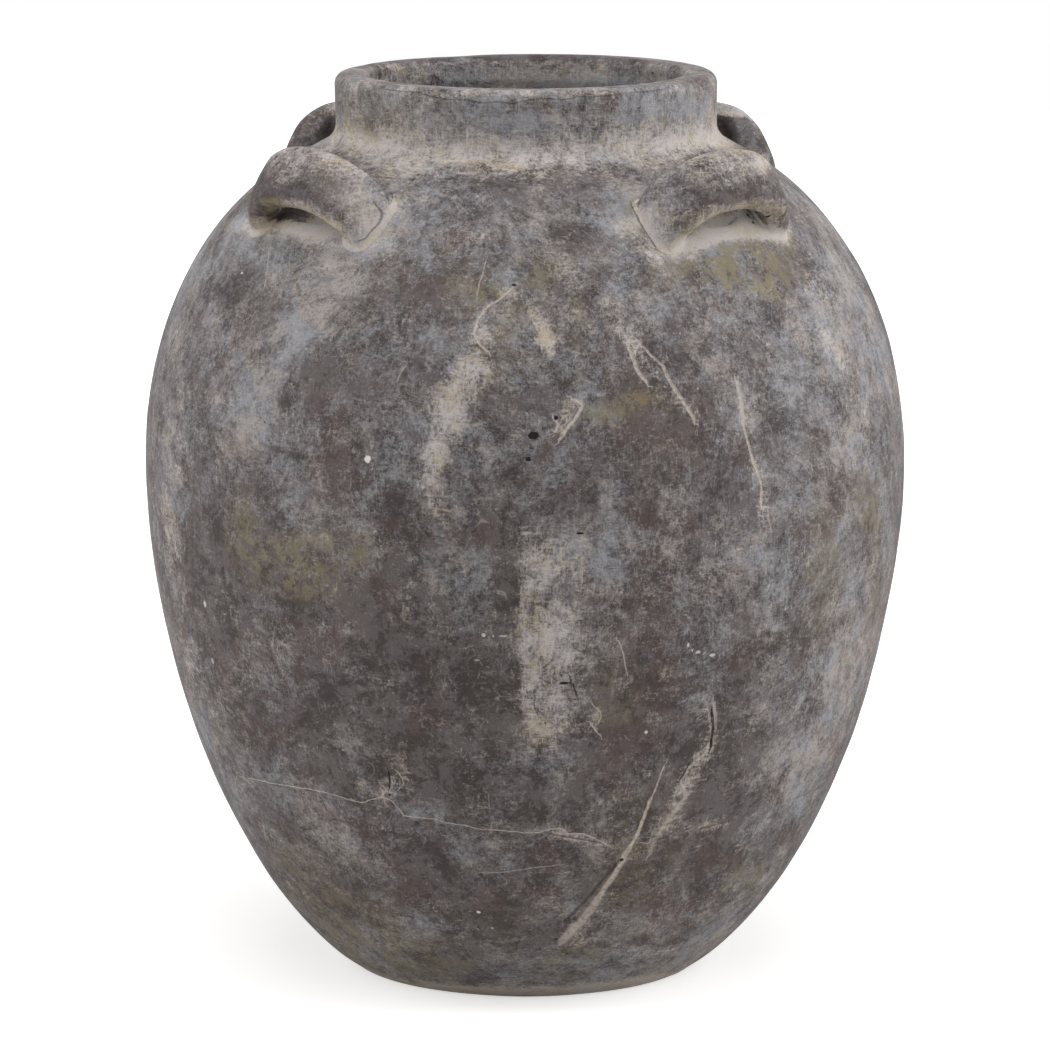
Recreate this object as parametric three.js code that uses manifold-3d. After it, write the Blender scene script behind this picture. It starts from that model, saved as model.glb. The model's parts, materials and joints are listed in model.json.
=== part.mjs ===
// A round-bellied storage jar of fired clay, with a short collar and four lug handles on its shoulder.
// Millimetres, +Z up. The origin is the centre of the base, on the ground.
// The +X, +Y, -X and -Y directions each point through one handle.
// The jar is built as a potter builds it: a floor slab, three stacked wall rings, a collar and four
// handles. The rings meet in gutter-and-ridge joints, and each handle is shaped to the shoulder it sits on.
import * as THREE from "three";
import { mergeVertices } from "three/addons/utils/BufferGeometryUtils.js";
import Module from "manifold-3d";

const wasm = await Module();
wasm.setup();

// Outside of the jar
const jarHeight = 420;
const baseRadius = 80.5;
const baseFlare = 60.6; // degrees from vertical at which the wall leaves the base
const baseArmLength = 68; // how far the wall keeps that direction
const bellyRadius = 177.5;
const bellyHeight = 238;
const bellyLowerArmLength = 82; // how long the belly stays upright below its widest line
const bellyUpperArmLength = 59; // and above it
const shoulderRadius = 106; // where the dome of the shoulder turns into the cone under the collar
const shoulderBelowRim = 39;
const shoulderSlope = 29.6; // degrees above horizontal
const shoulderArmLength = 56; // how long the dome keeps that slope below the cone
const collarRadius = 88.2;
const collarFillet = 10;

// Rim
const rimThickness = 14.8;
const rimOuterRound = 5.5;
const rimInnerRound = 4.5;
const rimLipHeight = 12; // height of the thicker lip above the neck's own wall

// Clay
const wallThickness = 12;
const floorThickness = 14;
const slabRadius = 71; // at its underside
const slabBevel = 9; // how much smaller the slab is at its top

// Joints between the clay pieces
const footSeamHeight = 96;
const jointGap = 0.3;
const ridgeDepth = 3;
const ridgeHalfWidth = 3;

// Handles
const handleFeetBelowRim = 56.2; // the centres of both feet
const handleHalfSpan = 32.6; // from the handle's middle to the centre of a foot
const handleRise = 21.9; // of the strap's middle over the line through the feet
const handleLean = 57; // degrees above horizontal in which the arch stands up
const strapWidth = 27.5;
const strapThickness = 14.2;
const strapTilt = 31; // degrees above horizontal that the strap's broad face looks
const strapSquareness = 3; // 2 makes the strap's outline across an ellipse, more makes it boxier
const footFlare = 1.12; // how much wider the strap is where it meets the shoulder
const footFlareFade = 3; // how soon that widening dies out along the arch
const footDepth = 0.22; // share of the arch that each end runs on below the shoulder
const handleTurns = {
  handle_front_left: -92,
  handle_front_right: -3,
  handle_back_right: 92,
  handle_back_left: 176,
};

// Surface
const wallColor = 0x76706c;
const collarColor = 0x857d77;
const handleColor = 0x6f6862;
const clayRoughness = 0.95;

// Fineness
const turns = 64; // facets round the jar
const wallSteps = 6;
const shoulderSteps = 9;
const arcSteps = 4;
const strapStations = 24;
const strapSides = 16;
const halvings = 40; // of the search for a height on a curve
const mergeDistance = 1e-4;

const radians = THREE.MathUtils.degToRad;
const onAxis = 0;
const handleFootHeight = jarHeight - handleFeetBelowRim;

// The outside of the wall as two curves in (radius, height) that meet at the belly.
const base = new THREE.Vector2(baseRadius, 0);
const belly = new THREE.Vector2(bellyRadius, bellyHeight);
const shoulder = new THREE.Vector2(shoulderRadius, jarHeight - shoulderBelowRim);
const flareDirection = new THREE.Vector2(Math.sin(radians(baseFlare)), Math.cos(radians(baseFlare)));
const coneDirection = new THREE.Vector2(-Math.cos(radians(shoulderSlope)), Math.sin(radians(shoulderSlope)));

const lowerCurve = new THREE.CubicBezierCurve(
  base,
  base.clone().addScaledVector(flareDirection, baseArmLength),
  new THREE.Vector2(bellyRadius, bellyHeight - bellyLowerArmLength),
  belly,
);
const upperCurve = new THREE.CubicBezierCurve(
  belly,
  new THREE.Vector2(bellyRadius, bellyHeight + bellyUpperArmLength),
  shoulder.clone().addScaledVector(coneDirection, -shoulderArmLength),
  shoulder,
);

// A point of the wall: depth is measured inwards from the outside, along the wall's own normal.
function wallPoint(curve, t, depth) {
  const tangent = curve.getTangent(t);
  const inwards = new THREE.Vector2(-tangent.y, tangent.x);
  return curve.getPoint(t).addScaledVector(inwards, depth);
}

// The parameter at which the wall, at that depth, reaches a height.
function parameterAtHeight(curve, height, depth) {
  let low = 0;
  let high = 1;
  for (let step = 0; step < halvings; step++) {
    const middle = (low + high) / 2;
    if (wallPoint(curve, middle, depth).y < height) low = middle;
    else high = middle;
  }
  return (low + high) / 2;
}

function wallStretch(curve, from, to, depth, steps) {
  const points = [];
  for (let i = 0; i <= steps; i++) {
    points.push(wallPoint(curve, from + ((to - from) * i) / steps, depth));
  }
  return points;
}

// The edge of a wall ring at a seam, from the outside to the inside: a shallow gutter in the ring
// below, and a ridge of the same form under the ring above, lifted by the joint's gap.
function seamEdge(curve, t, lift) {
  const tangent = curve.getTangent(t);
  const middle = wallThickness / 2;
  const across = [
    [0, 0],
    [middle - ridgeHalfWidth, 0],
    [middle, -ridgeDepth],
    [middle + ridgeHalfWidth, 0],
    [wallThickness, 0],
  ];
  return across.map(([depth, along]) =>
    wallPoint(curve, t, depth).addScaledVector(tangent, along + lift),
  );
}

// The gap is measured square to the ridge's flanks, so the pieces are lifted apart a little more.
const seamLift = jointGap * Math.hypot(1, ridgeDepth / ridgeHalfWidth);

function arc(centre, radius, fromDegrees, toDegrees, steps) {
  const points = [];
  for (let i = 0; i <= steps; i++) {
    const angle = radians(fromDegrees + ((toDegrees - fromDegrees) * i) / steps);
    points.push(new THREE.Vector2(centre.x + radius * Math.cos(angle), centre.y + radius * Math.sin(angle)));
  }
  return points;
}

// Turns an outline, given counter-clockwise in (radius, height), into a ring or disc round the Z axis.
function turned(outline) {
  const closed = outline[0].x > onAxis ? [...outline, outline[0]] : outline;
  return new THREE.LatheGeometry(closed, turns).rotateX(Math.PI / 2);
}

// Floor: a slab whose bevelled edge the first wall ring laps over.
function floorSlab() {
  return turned([
    new THREE.Vector2(onAxis, 0),
    new THREE.Vector2(slabRadius, 0),
    new THREE.Vector2(slabRadius - slabBevel, floorThickness),
    new THREE.Vector2(onAxis, floorThickness),
  ]);
}

const footSeam = parameterAtHeight(lowerCurve, footSeamHeight, 0);

// First ring: the flaring foot of the wall, from the ground to the seam. Its toe overhangs the slab's bevel.
function footWall() {
  const bevelLength = Math.hypot(slabBevel, floorThickness);
  const toeRadius = slabRadius + (jointGap * bevelLength) / floorThickness;
  const floorLine = parameterAtHeight(lowerCurve, floorThickness, wallThickness);
  return turned([
    new THREE.Vector2(toeRadius, 0),
    ...wallStretch(lowerCurve, 0, footSeam, 0, wallSteps).slice(0, -1),
    ...seamEdge(lowerCurve, footSeam, 0),
    ...wallStretch(lowerCurve, footSeam, floorLine, wallThickness, wallSteps).slice(1),
    new THREE.Vector2(toeRadius - slabBevel, floorThickness),
  ]);
}

// Second ring: the belly, from the foot seam to the widest line.
function bellyWall() {
  const outside = wallStretch(lowerCurve, footSeam, 1, 0, wallSteps).slice(1, -1);
  const inside = wallStretch(lowerCurve, 1, footSeam, wallThickness, wallSteps).slice(1, -1);
  return turned([
    ...seamEdge(lowerCurve, footSeam, seamLift).reverse(),
    ...outside,
    ...seamEdge(lowerCurve, 1, 0),
    ...inside,
  ]);
}

// Third ring: the dome of the shoulder, from the widest line to the cone under the collar.
function shoulderWall() {
  const outside = wallStretch(upperCurve, 0, 1, 0, shoulderSteps).slice(1, -1);
  const inside = wallStretch(upperCurve, 1, 0, wallThickness, shoulderSteps).slice(1, -1);
  return turned([
    ...seamEdge(upperCurve, 0, seamLift).reverse(),
    ...outside,
    ...seamEdge(upperCurve, 1, 0),
    ...inside,
  ]);
}

// The hollow fillet between the cone of the shoulder and the upright neck, from the cone up. Depth is
// measured inwards, so that it gives the collar's outside and inside alike.
function filletArc(depth) {
  const slope = radians(shoulderSlope);
  const coneLength =
    (shoulderRadius - collarRadius - collarFillet * (1 - Math.sin(slope))) / Math.cos(slope);
  const coneTop = shoulder.clone().addScaledVector(coneDirection, coneLength);
  const centre = new THREE.Vector2(
    collarRadius + collarFillet,
    coneTop.y + collarFillet * Math.cos(slope),
  );
  return arc(centre, collarFillet + depth, 270 - shoulderSlope, 180, arcSteps);
}

// Collar: a short cone, the fillet, the upright neck and its thicker, rounded rim.
function collar() {
  const mouthRadius = collarRadius - rimThickness;
  const outerRound = new THREE.Vector2(collarRadius - rimOuterRound, jarHeight - rimOuterRound);
  const innerRound = new THREE.Vector2(mouthRadius + rimInnerRound, jarHeight - rimInnerRound);
  return turned([
    ...seamEdge(upperCurve, 1, seamLift).reverse(),
    ...filletArc(0),
    ...arc(outerRound, rimOuterRound, 0, 90, arcSteps),
    ...arc(innerRound, rimInnerRound, 90, 180, arcSteps),
    new THREE.Vector2(mouthRadius, jarHeight - rimLipHeight),
    ...filletArc(wallThickness).reverse(),
  ]);
}

// A closed mesh as a solid that can be cut, and back again.
function solidOf(geometry) {
  const bare = geometry.clone();
  bare.deleteAttribute("normal");
  bare.deleteAttribute("uv");
  const merged = mergeVertices(bare, mergeDistance);
  return new wasm.Manifold(
    new wasm.Mesh({
      numProp: 3,
      vertProperties: merged.attributes.position.array,
      triVerts: new Uint32Array(merged.index.array),
    }),
  );
}

function geometryOf(solid) {
  const mesh = solid.getMesh();
  const geometry = new THREE.BufferGeometry();
  geometry.setAttribute("position", new THREE.BufferAttribute(mesh.vertProperties, 3));
  geometry.setIndex(new THREE.BufferAttribute(mesh.triVerts, 1));
  return geometry;
}

// All that the jar's own wall fills, grown by the joint's gap: it shapes the underside of the handles.
function shoulderEnvelope() {
  const outside = [
    ...wallStretch(lowerCurve, footSeam, 1, -jointGap, wallSteps),
    ...wallStretch(upperCurve, 0, 1, -jointGap, shoulderSteps).slice(1),
    ...filletArc(-jointGap),
  ];
  return turned([
    new THREE.Vector2(onAxis, outside[0].y),
    ...outside,
    new THREE.Vector2(onAxis, outside[outside.length - 1].y),
  ]);
}

// The direction in the upright plane through +X that looks that many degrees above horizontal.
function upwards(degrees) {
  return new THREE.Vector3(Math.cos(radians(degrees)), 0, Math.sin(radians(degrees)));
}

// One handle, standing over the +X direction: a thick strap that arches from foot to foot and widens
// where it meets the shoulder. Its outline across is a rounded rectangle, worked out as a superellipse.
function handleBlank() {
  const side = new THREE.Vector3(0, 1, 0);
  const lift = upwards(handleLean);
  const across = new THREE.Vector3().crossVectors(side, upwards(strapTilt));
  const footRadius = wallPoint(upperCurve, parameterAtHeight(upperCurve, handleFootHeight, 0), 0).x;
  const middle = new THREE.Vector3(
    Math.sqrt(footRadius ** 2 - handleHalfSpan ** 2),
    0,
    handleFootHeight,
  );
  const roundness = (value) => Math.sign(value) * Math.abs(value) ** (2 / strapSquareness);
  const positions = [];
  for (let i = 0; i <= strapStations; i++) {
    const angle = Math.PI * (((1 + 2 * footDepth) * i) / strapStations - footDepth);
    const centre = middle
      .clone()
      .addScaledVector(side, -handleHalfSpan * Math.cos(angle))
      .addScaledVector(lift, handleRise * Math.sin(angle));
    const forward = new THREE.Vector3()
      .addScaledVector(side, handleHalfSpan * Math.sin(angle))
      .addScaledVector(lift, handleRise * Math.cos(angle));
    const outwards = new THREE.Vector3().crossVectors(forward, across).normalize();
    const flare = 1 + (footFlare - 1) * Math.abs(Math.cos(angle)) ** footFlareFade;
    for (let k = 0; k < strapSides; k++) {
      const a = (2 * Math.PI * k) / strapSides;
      const point = centre
        .clone()
        .addScaledVector(across, (strapWidth / 2) * flare * roundness(Math.cos(a)))
        .addScaledVector(outwards, (strapThickness / 2) * roundness(Math.sin(a)));
      positions.push(point.x, point.y, point.z);
    }
  }
  const faces = [];
  for (let i = 0; i < strapStations; i++) {
    for (let k = 0; k < strapSides; k++) {
      const a = i * strapSides + k;
      const b = i * strapSides + ((k + 1) % strapSides);
      faces.push(a, b, a + strapSides, b, b + strapSides, a + strapSides);
    }
  }
  const last = strapStations * strapSides;
  for (let k = 1; k < strapSides - 1; k++) {
    faces.push(0, k + 1, k);
    faces.push(last, last + k, last + k + 1);
  }
  const geometry = new THREE.BufferGeometry();
  geometry.setAttribute("position", new THREE.Float32BufferAttribute(positions, 3));
  geometry.setIndex(faces);
  return geometry;
}

const jar = new THREE.Group();

function add(name, geometry, color) {
  const clay = new THREE.MeshStandardMaterial({ color, roughness: clayRoughness, metalness: 0 });
  const mesh = new THREE.Mesh(geometry, clay);
  mesh.name = name;
  jar.add(mesh);
}

add("floor_slab", floorSlab(), wallColor);
add("foot_wall", footWall(), wallColor);
add("belly_wall", bellyWall(), wallColor);
add("shoulder_wall", shoulderWall(), wallColor);
add("collar", collar(), collarColor);

const blank = solidOf(handleBlank());
const envelope = solidOf(shoulderEnvelope());
for (const [name, azimuth] of Object.entries(handleTurns)) {
  const seated = blank.rotate([0, 0, azimuth]).subtract(envelope);
  add(name, geometryOf(seated), handleColor);
}

export default jar;
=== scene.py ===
# A round-bellied storage jar of weathered fired clay, with a short collar and four lug handles.
# Each clay piece of the imported model gets a fine surface of the same form, worked out with numpy,
# and a procedural finish of burnished clay, pale dust, slip, stains, scratches and cracks, with painted
# shade, shadow and light among them.
import json
import bpy
import numpy as np
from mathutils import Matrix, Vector

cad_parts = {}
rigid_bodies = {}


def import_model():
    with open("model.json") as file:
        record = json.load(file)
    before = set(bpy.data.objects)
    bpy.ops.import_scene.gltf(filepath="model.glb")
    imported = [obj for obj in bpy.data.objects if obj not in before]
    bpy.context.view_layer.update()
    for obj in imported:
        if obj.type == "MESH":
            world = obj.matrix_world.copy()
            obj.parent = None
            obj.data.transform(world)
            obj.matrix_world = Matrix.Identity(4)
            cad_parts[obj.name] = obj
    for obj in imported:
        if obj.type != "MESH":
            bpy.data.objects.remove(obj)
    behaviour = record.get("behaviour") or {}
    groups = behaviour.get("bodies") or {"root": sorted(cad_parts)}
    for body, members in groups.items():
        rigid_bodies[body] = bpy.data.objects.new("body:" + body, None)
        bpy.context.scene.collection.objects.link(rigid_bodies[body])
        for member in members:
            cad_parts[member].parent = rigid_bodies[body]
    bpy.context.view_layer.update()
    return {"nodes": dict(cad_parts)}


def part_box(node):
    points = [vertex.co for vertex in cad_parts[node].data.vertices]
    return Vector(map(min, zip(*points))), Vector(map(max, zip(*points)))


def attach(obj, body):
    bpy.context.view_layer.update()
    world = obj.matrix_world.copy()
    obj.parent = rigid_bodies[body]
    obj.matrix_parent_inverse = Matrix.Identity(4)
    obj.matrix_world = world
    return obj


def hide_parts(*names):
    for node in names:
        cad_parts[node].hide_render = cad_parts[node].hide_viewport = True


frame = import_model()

sceneObjects = bpy.context.scene.collection.objects
print("frame loaded:", ", ".join(sorted(frame["nodes"])))

# Camera, as it stood for the photograph
view = {
    "frameSize": 1050,  # pixels on a side
    "focalPixels": 5321.4,
    "sensorWidth": 36.0,
    "distance": 2.5,
    "above": 10.64,  # degrees that it looks down on the middle of the jar
    "turn": -45.0,  # where it stands round the jar, in degrees from +X
    "middleHeight": 0.210,
    "aimHeight": 0.2064,
    "clipEnd": 20,
    "facing": (0.02, 0.2),  # marks fade in while a face turns towards the camera by this much
}


def stand(thing, place, aimHeight):
    # Puts a camera or lamp there, looking at the jar's axis at that height.
    sceneObjects.link(thing)
    thing.location = place
    thing.rotation_euler = (Vector((0, 0, aimHeight)) - thing.location).to_track_quat("-Z", "Y").to_euler()


def placeCamera():
    # On a ring round the jar: distance times the cosine of the tilt outwards, times its sine upwards.
    turn, tilt = np.radians(view["turn"]), np.radians(view["above"])
    level = view["distance"] * np.cos(tilt)
    camera = bpy.data.objects.new("camera", bpy.data.cameras.new("camera"))
    stand(camera, (level * np.cos(turn), level * np.sin(turn),
                   view["middleHeight"] + view["distance"] * np.sin(tilt)), view["aimHeight"])
    camera.data.sensor_width = view["sensorWidth"]
    camera.data.lens = view["focalPixels"] * view["sensorWidth"] / view["frameSize"]
    camera.data.clip_end = view["clipEnd"]
    bpy.context.scene.camera = camera
    return camera


camera = placeCamera()


def sightlines(halfTurn=False):
    # The camera's place and its forward, right and up directions. Half a turn takes it behind the jar.
    place = np.array(camera.location)
    aim = np.array([0, 0, view["aimHeight"]])
    if halfTurn:
        place = place * [-1, -1, 1]
    forward = (aim - place) / np.linalg.norm(aim - place)
    right = np.cross(forward, [0, 0, 1])
    right = right / np.linalg.norm(right)
    return place, forward, right, np.cross(right, forward)


def smoothStep(low, high, value):
    share = np.clip((value - low) / (high - low), 0, 1)
    return share * share * (3 - 2 * share)


def pictureOf(points, normals, halfTurn=False):
    # Perspective: sideways and upwards offsets over the distance, times the focal length.
    place, forward, right, up = sightlines(halfTurn)
    offset = points - place
    depth = offset @ forward
    middle = view["frameSize"] / 2
    x = middle + view["focalPixels"] * (offset @ right) / depth
    y = middle - view["focalPixels"] * (offset @ up) / depth
    towards = -np.sum(normals * offset, axis=1) / np.linalg.norm(offset, axis=1)
    return x, y, smoothStep(*view["facing"], towards)


# Wall, in metres and degrees
wall = {
    "baseRadius": 0.0805,
    "baseFlare": 60.6,  # from vertical
    "baseArm": 0.068,
    "bellyRadius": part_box("belly_wall")[1].x,
    "bellyHeight": 0.238,
    "bellyLowerArm": 0.082,
    "bellyUpperArm": 0.059,
    "shoulderRadius": 0.106,
    "shoulderBelowRim": 0.039,
    "shoulderSlope": 29.6,  # above horizontal
    "shoulderArm": 0.056,
    "collarRadius": 0.0882,
    "collarFillet": 0.010,
    "jarHeight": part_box("collar")[1].z,
    "thickness": 0.012,
    "footSeamHeight": 0.096,
    "columns": 540,  # round the jar
    "curveSteps": 600,  # points worked out along each cubic curve
    "filletSteps": 60,
}


def bezier(corners, share):
    # Cubic curve: the four corners weighted by the Bernstein polynomials of the share travelled.
    a, b, c, d = [np.array(corner)[None, :] for corner in corners]
    t = share[:, None]
    return a * (1 - t) ** 3 + 3 * b * t * (1 - t) ** 2 + 3 * c * t ** 2 * (1 - t) + d * t ** 3


def wallSkin():
    # The outside of the wall in (radius, height): two cubic curves, the cone, the fillet and the neck,
    # with the length travelled along it and its unit direction.
    flare, slope = np.radians(wall["baseFlare"]), np.radians(wall["shoulderSlope"])
    base = np.array([wall["baseRadius"], 0.0])
    belly = np.array([wall["bellyRadius"], wall["bellyHeight"]])
    shoulder = np.array([wall["shoulderRadius"], wall["jarHeight"] - wall["shoulderBelowRim"]])
    cone = np.array([-np.cos(slope), np.sin(slope)])
    share = np.linspace(0, 1, wall["curveSteps"])
    lower = bezier([base, base + wall["baseArm"] * np.array([np.sin(flare), np.cos(flare)]),
                    belly - [0, wall["bellyLowerArm"]], belly], share)
    upper = bezier([belly, belly + [0, wall["bellyUpperArm"]],
                    shoulder - wall["shoulderArm"] * cone, shoulder], share)
    fillet = wall["collarFillet"]
    reach = (wall["shoulderRadius"] - wall["collarRadius"] - fillet * (1 - np.sin(slope))) / np.cos(slope)
    coneTop = shoulder + reach * cone
    centre = np.array([wall["collarRadius"] + fillet, coneTop[1] + fillet * np.cos(slope)])
    angle = np.radians(np.linspace(270 - wall["shoulderSlope"], 180, wall["filletSteps"]))
    bend = centre + fillet * np.stack([np.cos(angle), np.sin(angle)], axis=1)
    neck = np.array([[wall["collarRadius"], wall["jarHeight"]]])
    line = np.concatenate([lower, upper[1:], bend, neck])
    along = np.concatenate([[0], np.cumsum(np.hypot(*np.diff(line, axis=0).T))])
    direction = np.gradient(line, along, axis=0)
    return along, line, direction / np.linalg.norm(direction, axis=1)[:, None], centre


skinAlong, skinLine, skinDirection, filletCentre = wallSkin()


def skinAt(along):
    # Radius and height of the skin at that length, and the sideways and upwards parts of its direction.
    return [np.interp(along, skinAlong, values) for values in (*skinLine.T, *skinDirection.T)]


def onSkin(along, depth):
    # The point of the skin at that length, moved inwards square to it.
    radius, height, sideways, upwards = skinAt(along)
    return radius - depth * upwards, height + depth * sideways


def alongAt(height):
    return np.interp(height, skinLine[:, 1], skinAlong)


bellyAlong = alongAt(wall["bellyHeight"])
coneAlong = alongAt(wall["jarHeight"] - wall["shoulderBelowRim"])


def radiusOf(points):
    return np.hypot(points[..., 0], points[..., 1])


def turnFrom(start, turn):
    # The shorter way round from one turn to the other, in radians.
    return (turn - start + np.pi) % (2 * np.pi) - np.pi


# Handles: the arch of each, and where it meets the wall
handle = {
    "feetBelowRim": 0.0562,
    "halfSpan": 0.0326,
    "rise": 0.0219,
    "lean": 57,  # degrees above horizontal in which the arch stands up
    "width": 0.0275,
    "thickness": 0.0142,
    "tilt": 31,  # degrees above horizontal that the broad face looks
    "squareness": 3.0,
    "flare": 1.12,
    "flareFade": 3,
    "depth": 0.22,  # how far the arch is followed into the wall, as a share of half a turn
    "luting": 0.0022,  # radius of the clay smoothed on round each foot
    "buried": 0.0012,
    "sides": 120,
    "stations": 96,
    "crowding": 1.6,  # over 1, the stations stand closer together at the feet
    "halvings": 30,
    "outlinePoints": 24,
    "feetBetween": (0.32, 0.40),  # heights
    "turns": {"handle_front_left": -92, "handle_front_right": -3,
              "handle_back_right": 92, "handle_back_left": 176},
}

# The hollow that a finger left in the wall under each strap
hollow = {"height": 0.3665, "halfWidth": 0.0175, "halfHeight": 0.0085, "depth": 0.0045, "edge": 0.35}


def nearHollow(points):
    # Distance from the middle of the nearest hollow, in its own half widths and half heights.
    radius = radiusOf(points)
    turn = np.arctan2(points[..., 1], points[..., 0])
    rise = (alongAt(points[..., 2]) - alongAt(hollow["height"])) / hollow["halfHeight"]
    return np.min([np.hypot(turnFrom(np.radians(azimuth), turn) * radius / hollow["halfWidth"], rise)
                   for azimuth in handle["turns"].values()], axis=0)


# Unevenness of the hand-built wall: (size, depth, seed) in metres, up and down about the true form
unevenness = {"layers": ((0.085, 0.0014, 7), (0.030, 0.0007, 8), (0.010, 0.0002, 9))}
lattice = {"cells": 64, "shift": 200}  # cells before it repeats, and how many the jar's middle is moved in


def latticeNoise(points, size, seed):
    # Random heights on a cubic lattice, blended with smooth weights between the eight nearest ones.
    cells = lattice["cells"]
    heights = np.random.default_rng(seed).random((cells, cells, cells))
    cell = points / size + lattice["shift"]
    corner = np.floor(cell).astype(int)
    weight = cell - corner
    weight = weight * weight * (3 - 2 * weight)
    total = 0
    for x, y, z in np.ndindex(2, 2, 2):
        share = (np.abs(1 - x - weight[..., 0]) * np.abs(1 - y - weight[..., 1])
                 * np.abs(1 - z - weight[..., 2]))
        total = total + share * heights[(corner[..., 0] + x) % cells, (corner[..., 1] + y) % cells,
                                        (corner[..., 2] + z) % cells]
    return total


def uneven(points, layers, shift=0):
    # Sizes of lattice noise, each centred and times its own depth, added.
    return sum(depth * (latticeNoise(points, size, seed + shift) - 0.5) for size, depth, seed in layers)


def dip(points):
    # How far the worked surface lies inside the true form. Where the form is widest or highest there is
    # no room outside it, so it only goes inwards.
    room = np.minimum(wall["bellyRadius"] - radiusOf(points), wall["jarHeight"] - points[..., 2])
    return np.maximum(uneven(points, unevenness["layers"]), -np.maximum(room, 0))


def turned(radius, height, turn):
    # x = radius cos turn, y = radius sin turn.
    return np.stack([radius * np.cos(turn), radius * np.sin(turn), height], axis=-1)


def skinPoints(along, depth, turn):
    # Radius and height of points round the jar. The wall's depth, its unevenness and the finger hollows
    # are measured square to the skin. Inside the wall the unevenness goes the other way, without hollows.
    depth = np.full_like(along, depth)
    plain = turned(*onSkin(along, depth), turn)
    pressed = hollow["depth"] * smoothStep(1, 1 - hollow["edge"], nearHollow(plain))
    inner = depth > wall["thickness"] / 2
    return onSkin(along, depth + np.where(inner, -dip(plain), dip(plain) + pressed))


# Meshes
def gridMesh(name, points, sharpRows=(), openEnds=False):
    # A grid of rows along an outline and columns round it. It closes on itself both ways, or has a cap,
    # one many-sided face, at each end of the outline. Rows in sharpRows get sharp edges.
    rows, columns = points.shape[:2]
    row = np.arange(rows - 1 if openEnds else rows)[:, None] * np.ones((1, columns), int)
    column = np.arange(columns)[None, :] + np.zeros_like(row)
    nextRow, nextColumn = (row + 1) % rows, (column + 1) % columns
    quads = np.stack([row * columns + column, row * columns + nextColumn,
                      nextRow * columns + nextColumn, nextRow * columns + column], axis=2).reshape(-1, 4)
    last = (rows - 1) * columns
    caps = [[*range(columns)][::-1], [*range(last, last + columns)]] if openEnds else []
    mesh = bpy.data.meshes.new(name)
    mesh.from_pydata(points.reshape(-1, 3).tolist(), [], quads.tolist() + caps, shade_flat=False)
    if len(sharpRows):
        ends = np.zeros(len(mesh.edges) * 2, np.int32)
        mesh.edges.foreach_get("vertices", ends)
        rowOf = ends.reshape(-1, 2) // columns
        sharp = (rowOf[:, 0] == rowOf[:, 1]) & np.isin(rowOf[:, 0], sharpRows)
        mesh.attributes.new("sharp_edge", "BOOLEAN", "EDGE").data.foreach_set("value", sharp)
    mesh.validate()
    return mesh


def readRows(items, label):
    values = np.zeros(len(items) * 3, np.float32)
    items.foreach_get(label, values)
    return values.reshape(-1, 3).astype(float)


def give(mesh, name, values):
    # An attribute of the vertices: numbers, or rows of three as vectors.
    kind, label = ("FLOAT", "value") if values.ndim == 1 else ("FLOAT_VECTOR", "vector")
    mesh.attributes.new(name, kind, "POINT").data.foreach_set(label, values.astype(np.float32).ravel())


# Where the handles meet the wall
def overWall(points):
    # Height of a point over the worked wall, square to it.
    radius, _, _, upwards = skinAt(alongAt(points[..., 2]))
    return (radiusOf(points) - radius) * upwards + dip(points)


def wallNormal(points):
    _, _, sideways, upwards = skinAt(alongAt(points[..., 2]))
    radius = radiusOf(points)
    return np.stack([upwards * points[..., 0] / radius, upwards * points[..., 1] / radius, -sideways],
                    axis=-1)


def strapPoints(angle, around, azimuth):
    # An arch from foot to foot, half an ellipse that leans back, with a superellipse for its section.
    lean, tilt = np.radians(handle["lean"]), np.radians(handle["tilt"])
    side, lift = np.array([0, 1, 0]), np.array([np.cos(lean), 0, np.sin(lean)])
    across = np.cross(side, [np.cos(tilt), 0, np.sin(tilt)])
    footHeight = wall["jarHeight"] - handle["feetBelowRim"]
    footRadius = np.interp(footHeight, skinLine[:, 1], skinLine[:, 0])
    middle = np.array([np.sqrt(footRadius ** 2 - handle["halfSpan"] ** 2), 0, footHeight])
    sine, cosine = np.sin(angle)[..., None], np.cos(angle)[..., None]
    centre = middle - handle["halfSpan"] * cosine * side + handle["rise"] * sine * lift
    forward = handle["halfSpan"] * sine * side + handle["rise"] * cosine * lift
    outwards = np.cross(forward, across)
    outwards = outwards / np.linalg.norm(outwards, axis=-1)[..., None]
    flare = 1 + (handle["flare"] - 1) * np.abs(cosine) ** handle["flareFade"]

    def rounded(value):
        return (np.sign(value) * np.abs(value) ** (2 / handle["squareness"]))[..., None]

    points = (centre + across * handle["width"] / 2 * flare * rounded(np.cos(around))
              + outwards * handle["thickness"] / 2 * rounded(np.sin(around)))
    turn = np.radians(azimuth)
    return points @ np.array([[np.cos(turn), np.sin(turn), 0], [-np.sin(turn), np.cos(turn), 0], [0, 0, 1]])


def footAngles(around, azimuth, first):
    # Halves the stretch between inside the wall and the top of the arch until it meets the wall.
    inside = np.full_like(around, -handle["depth"] * np.pi if first else (1 + handle["depth"]) * np.pi)
    outside = np.full_like(around, np.pi / 2)
    for _ in range(handle["halvings"]):
        middle = (inside + outside) / 2
        under = overWall(strapPoints(middle, around, azimuth)) < 0
        inside, outside = np.where(under, middle, inside), np.where(under, outside, middle)
    return outside


def footOutline(azimuth, first):
    around = np.linspace(0, 2 * np.pi, handle["outlinePoints"], endpoint=False)
    return strapPoints(footAngles(around, azimuth, first), around, azimuth)


footOutlines = np.concatenate([footOutline(azimuth, first) for azimuth in handle["turns"].values()
                               for first in (True, False)])


def gapToFeet(points):
    # Distance to the nearest point where a handle meets the wall, worked out only up on the shoulder.
    gap = np.ones(len(points))
    low, high = handle["feetBetween"]
    near = (points[:, 2] > low) & (points[:, 2] < high)
    offset = points[near, None, :] - footOutlines[None, :, :]
    gap[near] = np.sqrt(np.min(np.sum(offset ** 2, axis=2), axis=1))
    return gap
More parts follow.
